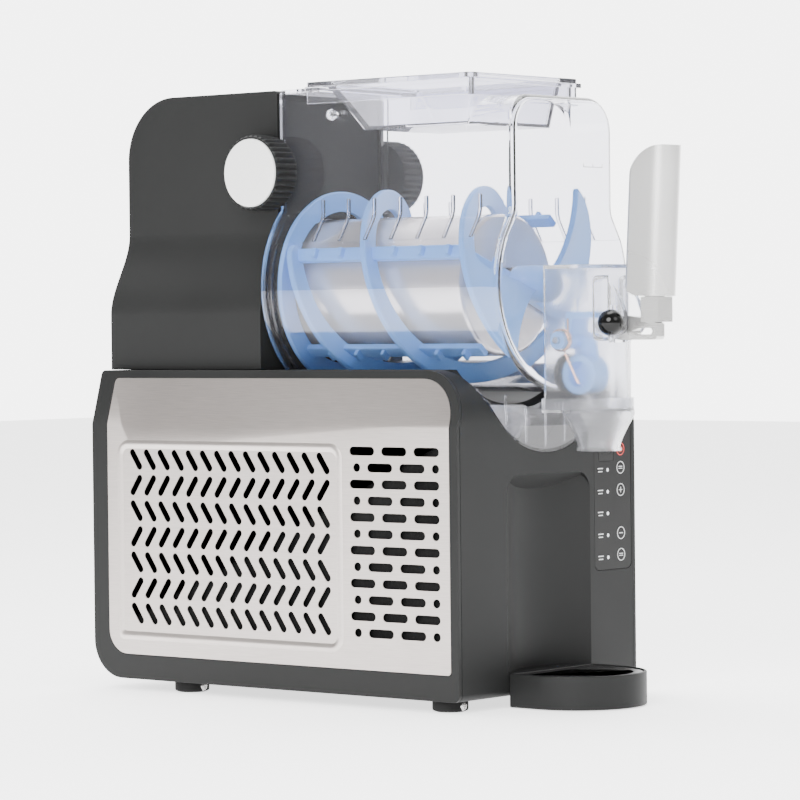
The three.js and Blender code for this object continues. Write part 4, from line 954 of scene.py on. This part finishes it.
def tap_block(inset, low, rear):
    body = prism(tap_plan(inset, rear), "Z", low, TAP_TOP - inset)
    deep, before = NOTCH_REAR + inset, TAP_FRONT - 20
    bottom, top = NOTCH_LOW - inset, NOTCH_TOP + inset
    outline = rounded([(before, bottom), (deep, bottom, 3), (deep, top, 3), (before, top)])
    sides = (NOTCH_FACE - inset, TAP_HALF + 5)
    return cut(body, prism(outline, "X", -sides[1], -sides[0]), prism(outline, "X", *sides))


def ear(x0, x1):
    y, z = LEVER_Y, LEVER_Z
    root = [(TAP_FRONT + 1, z - 14), (TAP_FRONT + 1, NOTCH_TOP - 2)]
    nose = [(y - 3.5, z + 16, 8), (y - 7.5, z + 5, 5), (y - 7.5, z - 6.5, 6), (y, z - 9, 4)]
    return prism(rounded(root + nose), "X", x0, x1)


def make_tap():
    inner = NOTCH_FACE - 4.2
    shell = cut(tap_block(0, TAP_LOW, TAP_REAR), tap_block(2.5, TAP_LOW - 5, TAP_REAR + 5))
    body = cut(
        join(shell, ear(-NOTCH_FACE, -inner), ear(inner, NOTCH_FACE)),
        block((-5.7, 5.7), (TAP_FRONT - 20, TAP_FRONT + 4.5), (LEVER_Z - 14, LEVER_Z + 12)),
        rod("X", 2.5, -60, 60, LEVER_Y, LEVER_Z),
    )
    return softened(body, 0.9, 3)


def make_spout():
    low, top = span("tap_spout", 2)
    centre_y = TAP_FRONT + 19

    def funnel(inset, first, last):
        flare = [(-26.5, 14.6), (-23, 15.3), (-19, 16.8), (-13, 19.8), (-7, 23.2), (-3.5, 24.9)]
        stations = [(first, 14.5), *((TAP_LOW + drop, radius) for drop, radius in flare), (last, 25)]
        return loft([[(x, y, z) for x, y in circle(0, centre_y, r - inset, 64)] for z, r in stations])

    body = join(
        prism(tap_plan(-3.4, TAP_REAR, 22.4), "Z", TAP_LOW - 2, top),
        funnel(0, low, TAP_LOW - 1),
        rod("Z", 15.6, low, low + 2.2, 0, centre_y, 64),
    )
    seat = prism(tap_plan(-0.3, TAP_REAR + 1), "Z", TAP_LOW - 0.3, top + 1)
    return softened(cut(body, seat, funnel(2.2, low - 1, TAP_LOW + 1)), 0.6, 2)


def make_spout_ticks():
    """Short upright ribs on the collar."""
    x = (TAP_HALF + 2.8, TAP_HALF + 3.9)
    z = (TAP_LOW + 0.5, TAP_LOW + 6)
    places = [TAP_REAR - 12 - 3.4 * k for k in range(3)]
    right = merged(*[softened(block(x, (y - 0.6, y + 0.6), z), 0.3) for y in places])
    return merged(right, mirrored(right))


def make_lever():
    y, z = LEVER_Y, LEVER_Z
    front, low, slot_low = y - 29.5, z - 12, z - 8.4
    tip = ROLLER_Y + 3.6
    rear = [(y + 3, low, 4), (tip, ROLLER_Z - 4, 2.5), (tip, ROLLER_Z + 3, 2.5), (y + 5, z + 4.5, 3)]
    side = rounded([(front, low, 2.5), *rear, (y - 6, z + 4.5, 3), (front + 6, z + 2, 2), (front, z - 1, 2)])
    slot = rectangle(front + 4, y - 9, slot_low, slot_low + 4.4, 2)
    bar = cut(prism(side, "X", -4.5, 4.5), prism(slot, "X", -20, 20), rod("X", 2.5, -20, 20, y, z))
    neck = block((-8.5, 8.5), (y - 33.5, y - 19), (z, HANDLE_LOW - 0.3))
    web = block((-4, 4), (y - 30.5, y - 19), (z, HANDLE_LOW + 3))
    return softened(join(bar, neck, web), 0.8, 3)


def handle_solid(inset, low, high):
    half, rear = 13 - inset, 19 - inset
    back = rounded([(half, 0), (half, rear, 3.5), (-half, rear, 3.5), (-half, 0)])[1:-1]
    plan = arc(0, 0, half, math.pi, math.pi, 32) + back
    side = rounded([(-14, low), (rear, low, 0 if inset else 11), (rear, high, 28 - inset), (-14, high)], 20)
    return common(prism(plan, "Z", low, high), prism(side, "X", -100, 100))


def make_handle():
    length, wall = 103.4, 2.5
    shell = cut(handle_solid(0, 0, length), handle_solid(wall, -1, length - wall))
    shell = turned(softened(shell, 1.4, 4), "X", 3.2, 0, 0, 0, shift=(0, LEVER_Y - 26.3, HANDLE_LOW))
    return cut(shell, block((-100, 100), (-400, 400), (0, HANDLE_LOW)))


def make_ball():
    """The round pull on the end of the lever's pin."""
    radius, end = 9.0, -NOTCH_FACE - 0.8
    x = end - 4.4
    dome = [(r, x - w) for w, r in arc(0, 0, radius, math.pi / 28, math.pi * 22 / 28, 22)]
    neck = [(6.0, end - 0.6), (6.0, end), (TIP, end)]
    return lathe([(TIP, x - radius), *dome, *neck], "X", LEVER_Y, LEVER_Z, 64)


def make_valve():
    """The blue crank: an arm over the lever's roller, a boss on the pivot and the loop behind the spout."""
    y, z, half = VALVE_Y, VALVE_Z, 9
    loop_y, loop_z = BOWL_FRONT - 18.2, OUTLET_Z - 1
    top, tip = ROLLER_Z + 9.5, ROLLER_Y - 1
    arms = [(y - 3.5, z - 4), (y + 1, z - 4), (y + 0.5, top, 3), (tip, top, 2), (tip, top - 4.6, 2)]
    arms = rounded([*arms, (y - 5, top - 4.6, 2)])
    web = [(loop_y - 11.6, loop_z), (loop_y, loop_z - 10.6), (loop_y + 10.6, loop_z)]
    web = rounded([(y - 2, z + 3), (ROLLER_Y + 6, z + 1, 4), *web])
    body = join(
        prism(arms, "X", -half, half),
        prism(web, "X", -1.5, 1.5),
        hoop("X", 9, 13.6, -half, half, loop_y, loop_z, 72),
        rod("X", 6, -12.3, 17, y, z, 48),
        rod("X", 6.2, -19.5, -11.6, y, z, 48),
        rod("Y", 4, loop_y + 10, span("valve_pad", 1)[0] - 0.3, 0, OUTLET_Z),
    )
    return softened(cut(body, rod("X", 2.7, -60, 60, y, z)), 0.7, 3)


def make_spring():
    """The coil round the valve's pivot, with its two legs."""
    radius, wire = 7.4, 0.7
    start, length = -16.8, 3.6
    turns, per_turn = 3.5, 28
    coil = arc(0, 0, radius, math.pi, -2 * math.pi * turns, int(turns * per_turn))
    points = [(-17.0, VALVE_Y - radius, VALVE_Z + 15)]
    for k, (y, z) in enumerate(coil):
        points.append((start + length * k / (len(coil) - 1), VALVE_Y + y, VALVE_Z + z))
    x, y, z = points[-1]
    points += [(x, y - 8, z - 6), (x, VALVE_Y - 13, VALVE_Z - 30)]
    line = [placed(*point) for point in points]
    return drawn(
        [line], False, dimensions="3D", bevel_depth=wire * MM, bevel_resolution=2, use_fill_caps=True
    )


# ---- condensate tray, drip tray, feet


def make_condensate():
    front, rear = span("condensate_tray", 1)
    low = block((-200, 200), (-200, 400), (0, span("condensate_tray", 2)[1]))
    crescent = cut(
        sump(SUMP_R - 0.3, front, rear), rod("Y", BARREL_R + 12, front - 1, rear + 1, 0, AXIS_Z, 128)
    )
    body = cut(common(crescent, low), sump(SUMP_R - 2.3, front + 2, rear - 2))
    return softened(common(body, base_length(0.5)), 0.6, 2)


def make_condensate_ribs():
    """Upright ribs on the tray's front face."""
    front = span("condensate_tray", 1)[0]
    ribs = []
    for k in range(-2, 3):
        x = 22.0 * k
        low = SUMP_Z - math.sqrt((SUMP_R - 3) ** 2 - x**2)
        high = AXIS_Z - math.sqrt((BARREL_R + 12.5) ** 2 - x**2)
        if high - low > 5:
            rib = block((x - 0.6, x + 0.6), (front + 1.9, front + 3.2), (low + 1, high - 1))
            ribs.append(softened(rib, 0.25))
    return merged(*ribs)


DRIP_HALF, DRIP_STRAIGHT = 47, -37.5
DRIP_LOW, DRIP_TOP = span("drip_tray", 2)


def drip_plan(inset):
    half, rear = DRIP_HALF - inset, FRONT_WALL - 0.3 - inset
    return [*arc(0, DRIP_STRAIGHT, half, math.pi, math.pi, 64), (half, rear), (-half, rear)]


def make_drip_tray():
    step = DRIP_TOP - 3.3
    body = cut(
        prism(drip_plan(0), "Z", DRIP_LOW, DRIP_TOP),
        prism(drip_plan(4.5), "Z", DRIP_LOW + 3, DRIP_TOP + 1),
        prism(drip_plan(2.5), "Z", step, DRIP_TOP + 1),
    )
    return softened(body, 1.0, 4)


def make_grille():
    top = span("drip_grille", 2)[1]
    low = top - 2
    centre = (FRONT_WALL + DRIP_STRAIGHT - DRIP_HALF) / 2
    slots = []
    for i in range(9):
        slot = prism(capsule((i - 4) * 9, 0, 160, 4, 90), "Z", low - 1, top + 1)
        slots.append(turned(slot, "Z", 35, 0, 0, 0, shift=(0, centre, 0)))
    field = prism(drip_plan(9.5), "Z", low - 1, top + 1)
    slotted = cut(common(merged(*slots), field), rod("Z", 10, low - 2, top + 2, 0, centre))
    body = cut(prism(drip_plan(2.8), "Z", low, top), slotted, rod("Z", 6, low - 1, top + 1, 0, centre))
    return softened(body, 0.4, 2)


def make_foot(node):
    x, y, top = middle(node, 0), middle(node, 1), span(node, 2)[1]
    pad = [(TIP, 0), (9.6, 0), (10, 0.5), (11, 0.5), (12.2, 1.1), (12.5, 2.2)]
    body = lathe([*pad, (12.5, top - 0.8), (12.1, top), (TIP, top)], "Z", x, y, 56)
    return cut(body, rod("Y", 3.7, y - 14, y - 9.1, x, 4.2, 32))


def make_foot_screw(node):
    """A domed head with a cross recess, facing forwards."""
    x, z = middle(node, 0), middle(node, 2)
    front, rear = span(node, 1)
    dome = [(TIP, 0), (1.6, 0.15), (2.8, 0.7), (3.3, 1.5)]
    head = lathe([*((r, front + w) for r, w in dome), (3.3, rear), (TIP, rear)], "Y", x, z, 32)
    recess = (front - 1, front + 1.1)
    return cut(head, join(bar(x, z, 2.0, 0.45, recess), bar(x, z, 0.45, 2.0, recess)))


# ---- control panel


def bar(x, z, half_wide, half_high, depth):
    """A flat mark centred on (x, z), its depth given as (front, rear)."""
    return block((x - half_wide, x + half_wide), depth, (z - half_high, z + half_high))


def make_panel():
    body = prism(rectangle(*PANEL_X, *PANEL_Z, 5), "Y", *PANEL_Y)
    (x0, x1), (z0, z1) = WINDOW_X, WINDOW_Z
    hole = rectangle(x0 - 0.3, x1 + 0.3, z0 - 0.3, z1 + 0.3, 1)
    return softened(cut(body, prism(hole, "Y", PANEL_Y[0] - 1, PANEL_Y[1] + 1)), 0.2, 2)


def make_display():
    return softened(prism(rectangle(*WINDOW_X, *WINDOW_Z, 0.8), "Y", *WINDOW_Y), 0.2, 2)


def make_marks():
    """Button rings with generic signs, and short strokes where the labels are."""
    signs = [(51, 0, 2, 0.3), (51, 0, 0.3, 2), (82, 0, 2, 0.3)]
    signs += [(drop, row, 2.2, 0.25) for drop in (35, 97.5) for row in (0.7, -0.7)]
    marks = [hoop("Y", 4.0, 4.5, *PRINT, BUTTON_X, PANEL_Z[1] - drop, 40) for drop in (35, 51, 82, 97.5)]
    marks += [bar(BUTTON_X, PANEL_Z[1] - drop + row, wide, high, PRINT) for drop, row, wide, high in signs]
    for drop in LABEL_DROPS:
        for row, wide in ((1.1, 3.0), (-1.1, 2.4)):
            marks.append(bar(PANEL_X[0] + 7, PANEL_Z[1] - drop + row, wide, 0.35, PRINT))
    return merged(*marks)


def make_lamps():
    face = PANEL_Y[0]
    profile = [(TIP, face - 0.5), (0.8, face - 0.4), (1.3, face - 0.05), (1.3, face + 0.2), (TIP, face + 0.2)]
    return merged(*[lathe(profile, "Y", PANEL_X[0] + 15.7, PANEL_Z[1] - drop, 24) for drop in LABEL_DROPS])


def make_power_mark():
    x, z = BUTTON_X, PANEL_Z[1] - 21.7
    gap = block((x - 0.8, x + 0.8), (PRINT[0] - 1, PRINT[1] + 1), (z + 1, z + 3))
    open_ring = cut(hoop("Y", 1.8, 2.3, *PRINT, x, z, 40), gap)
    stroke = block((x - 0.25, x + 0.25), PRINT, (z + 0.6, z + 2.9))
    return merged(hoop("Y", 4.0, 4.6, *PRINT, x, z, 40), open_ring, stroke)


def make_digits():
    """Two dim seven-bar figures behind the window."""
    depth = (WINDOW_Y[0] - 0.1, WINDOW_Y[0] + 0.1)
    z = middle("display_window", 2)
    bars = []
    for share in (0.3, 0.7):
        x = WINDOW_X[0] + (WINDOW_X[1] - WINDOW_X[0]) * share
        bars += [bar(x, z + dz, 1.8, 0.4, depth) for dz in (-4.6, 0, 4.6)]
        bars += [bar(x + dx, z + dz, 0.4, 1.8, depth) for dx in (-2.3, 2.3) for dz in (-2.3, 2.3)]
    return merged(*bars)


def make_fill_mark():
    """A short line and ticks on the hopper's front, the usual filling level."""
    depth, z = (BOWL_FRONT - 0.25, BOWL_FRONT + 0.1), HOPPER_TOP - 49
    return merged(bar(33, z, 11, 0.3, depth), *[bar(x, z + 1.2, 0.25, 1.2, depth) for x in (22.3, 33, 43.7)])


def make_shade_screen():
    """A near-black sheet behind the left vent panel: painted shade, which keeps light from crossing the base
    and showing through the slots.
    """
    x = (-(BASE_HALF - 4.6), -(BASE_HALF - 6.0))
    return softened(block(x, (FRONT_WALL + 9, BASE_REAR - 26), (BASE_LOW + 35, BASE_TOP - 46)), 0.4, 2)


def refined(node, width=0.5, segments=2):
    """A copy of a CAD node with its sharp edges eased."""
    return softened(linked(frame["nodes"][node].data.copy()), width, segments, merge=False)


# ---- the pieces

piece(make_base(), "base_body", "base", BLACK, "body_black", "base_shell")
pair(make_cover(), "cover", "base", COVER_BLACK, "body_black", "{}_side_cover")
pair(merged(make_vent(), make_vent_frame()), "vent", "base", STEEL, "vent_steel", "{}_vent_panel")
# painted shade: a dark sheet set behind each vent panel where the inside of the base is only in shade
pair(make_shade_screen(), "painted_shade_screen", "base", SHADE_SHEET, "grille_black")
piece(make_tower(), "tower_skin", "base", BLACK, "body_black", "tower_housing")
piece(refined("rear_cover", 0.6), "rear_vent", "base", COVER_BLACK, "body_black", "rear_cover")
piece(refined("bowl_gasket", 0.3), "bowl_seal", "base", RUBBER, "rubber_black", "bowl_gasket")
piece(make_condensate(), "condensate_skin", "base", CLEAR, "clear_plastic", "condensate_tray")
piece(make_condensate_ribs(), "condensate_ribs", "base", CLEAR, "clear_plastic")
piece(make_drum(), "drum_skin", "base", DRUM_STEEL, "steel", "freezing_drum")
piece(make_panel(), "control_film", "base", PANEL, "panel_black", "control_panel")
piece(make_display(), "display_glass", "base", GLOSS, "gloss_black", "display_window")
piece(make_marks(), "control_marks", "base", MARK, "panel_black")
piece(make_lamps(), "control_lamps", "base", LED, "panel_black")
piece(make_power_mark(), "power_mark", "base", RED_LAMP, "panel_black")
piece(make_digits(), "display_bars", "base", PANEL, "gloss_black")
piece(refined("power_inlet", 0.5), "inlet_socket", "base", GRILLE, "grille_black", "power_inlet")
for place in ("front_left", "front_right", "rear_left", "rear_right"):
    piece(make_foot(f"foot_{place}"), f"rubber_foot_{place}", "base", RUBBER, "rubber_black", f"foot_{place}")
    node = f"foot_screw_{place}"
    piece(make_foot_screw(node), f"cross_screw_{place}", "base", BRIGHT, "steel", node)

pair(make_knob(), "grip", "{}_knob", BLACK, "body_black", "{}_knob")
pair(make_cap(), "disc", "{}_knob", CAP, "cap_white", "{}_knob_cap")
piece(make_auger(), "auger_blades", "auger", BLUE, "blue_plastic", "auger")
piece(make_bowl(), "bowl_skin", "bowl", CLEAR, "clear_plastic", "bowl")
piece(make_gussets(), "bowl_webs", "bowl", CLEAR, "clear_plastic")
piece(make_flange_rings(), "bowl_step", "bowl", CLEAR, "clear_plastic")
piece(make_fill_mark(), "fill_mark", "bowl", MARK, "clear_plastic")
piece(make_stud(), "bowl_stud", "bowl", CLEAR, "clear_plastic", "lid_stud")
piece(make_lid(), "lid_skin", "lid", LID_CLEAR, "clear_plastic", "lid")
piece(make_tap(), "tap_body", "bowl", FROSTED, "frosted_plastic", "tap_housing")
piece(make_spout(), "spout", "bowl", FROSTED, "frosted_plastic", "tap_spout")
piece(make_spout_ticks(), "spout_ribs", "bowl", FROSTED, "frosted_plastic")
piece(make_lever(), "lever_arm", "lever", SILVER, "silver_plated", "lever_bar")
piece(make_handle(), "handle_grip", "lever", SILVER, "silver_plated", "tap_handle")
piece(refined("lever_pin", 0.3), "lever_axle", "lever", BRIGHT, "steel", "lever_pin")
piece(make_ball(), "pin_knob", "lever", GLOSS, "gloss_black", "pin_ball")
piece(refined("lever_roller", 0.3), "roller", "lever", WHITE, "roller_white", "lever_roller")
piece(make_valve(), "valve_crank", "valve", BLUE, "blue_plastic", "tap_valve")
piece(refined("valve_pad", 0.4), "valve_seal", "valve", RUBBER, "rubber_black", "valve_pad")
piece(make_spring(), "pivot_spring", "valve", COPPER, "copper", "valve_spring")
piece(make_drip_tray(), "tray_skin", "drip_tray", BLACK, "body_black", "drip_tray")
piece(make_grille(), "tray_grille", "drip_grille", GRILLE, "grille_black", "drip_grille")

KEPT = {
    BRIGHT: ("drive_shaft", "shaft_bearing", "valve_pin", "motor_bracket"),
    RUBBER: ("shaft_seal", "compressor_mount_front", "compressor_mount_left", "compressor_mount_right"),
    COPPER: ("evaporator_coil", "suction_line", "discharge_line", "filter_dryer"),
    ENAMEL: ("compressor",),
    ALUMINIUM: ("condenser",),
    GRILLE: ("fan_shroud", "fan_blade"),
    MOTOR: ("fan_motor", "gear_motor"),
    BOARD: ("control_board",),
}
for look, nodes in KEPT.items():
    for node in nodes:
        data = frame["nodes"][node].data
        data.materials.clear()
        data.materials.append(look)

# ---- stage, light and camera


def make_floor():
    """A pale floor that fades into the backdrop."""
    mesh = bpy.data.meshes.new("floor")
    corners = [(x, y, 0) for x, y in ((-6, -6), (6, -6), (6, 6), (-6, 6))]
    mesh.from_pydata(corners, [], [[0, 1, 2, 3]])
    floor = linked(mesh)
    made = bpy.data.materials.new("pale_floor")
    made.use_nodes = True
    tree = made.node_tree
    tint = tinted(tree, noise_at(tree, EVEN, 2, 1), [0.90] * 3, [0.92] * 3)
    glow = {"Emission Color": (1, 1, 1, 1), "Emission Strength": 1.7}
    feed(tree, tree.nodes["Principled BSDF"], {"Base Color": tint, "Roughness": 0.8, **glow})
    mesh.materials.append(made)
    floor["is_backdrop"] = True


def make_light(name, where, size, power):
    data = bpy.data.lights.new(name, "AREA")
    data.shape = "DISK"
    data.size = size
    data.energy = power
    light = linked(data)
    light.location = where
    light.rotation_euler = (LIT_POINT - Vector(where)).to_track_quat("-Z", "Y").to_euler()


LIT_POINT = Vector((0, 0, 0.2))
WORLD_DIM, WORLD_BRIGHT = 0.4, 5.6
BRIGHT_SIDE = (0.70, 0.62, 0.35)


def make_world():
    """A studio that is bright behind the machine and overhead, and dimmer beside and before it."""
    world = bpy.data.worlds.new("studio")
    world.use_nodes = True
    tree = world.node_tree
    where = shader_node(tree, "TexCoord").outputs["Generated"]
    facing = shader_node(tree, "VectorMath")
    facing.operation = "DOT_PRODUCT"
    tree.links.new(where, facing.inputs[0])
    facing.inputs[1].default_value = BRIGHT_SIDE
    limits = {"From Min": 0.35, "From Max": 0.85, "To Min": WORLD_DIM, "To Max": WORLD_BRIGHT}
    lift = shader_node(tree, "MapRange", {"Value": facing.outputs["Value"], **limits})
    lift.interpolation_type = "SMOOTHSTEP"
    feed(tree, tree.nodes["Background"], {"Strength": lift.outputs["Result"], "Color": (1, 1, 1, 1)})
    bpy.context.scene.world = world


def make_camera():
    """The photograph's camera, from the fit of its straight edges."""
    yaw, pitch, roll = math.radians(49.80), math.radians(1.18), math.radians(0.60)
    data = bpy.data.cameras.new("camera")
    data.sensor_width = 36
    data.lens = 164.7
    camera = linked(data)
    ahead = Vector((math.sin(yaw) * math.cos(pitch), math.cos(yaw) * math.cos(pitch), -math.sin(pitch)))
    right = Vector((math.cos(yaw), -math.sin(yaw), 0))
    up = right.cross(ahead)
    tilted_right = right * math.cos(roll) - up * math.sin(roll)
    tilted_up = right * math.sin(roll) + up * math.cos(roll)
    turn = Matrix((tilted_right, tilted_up, -ahead)).transposed()
    camera.matrix_world = Matrix.Translation((-2.02310, -1.58614 + ORIGIN_Y, 0.26603)) @ turn.to_4x4()
    bpy.context.scene.camera = camera


make_floor()
make_world()
make_light("key", (-2.4, -0.9, 1.5), 1.8, 125)
make_light("front", (-0.2, -2.4, 1.6), 1.4, 24)
make_light("top", (0.1, 0.2, 2.4), 1.6, 60)
make_camera()

bpy.context.view_layer.update()
sizes = {"cad": cad_bounds, "visual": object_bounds()}
{k: [list(map(float, corner)) for corner in v] for k, v in sizes.items()}
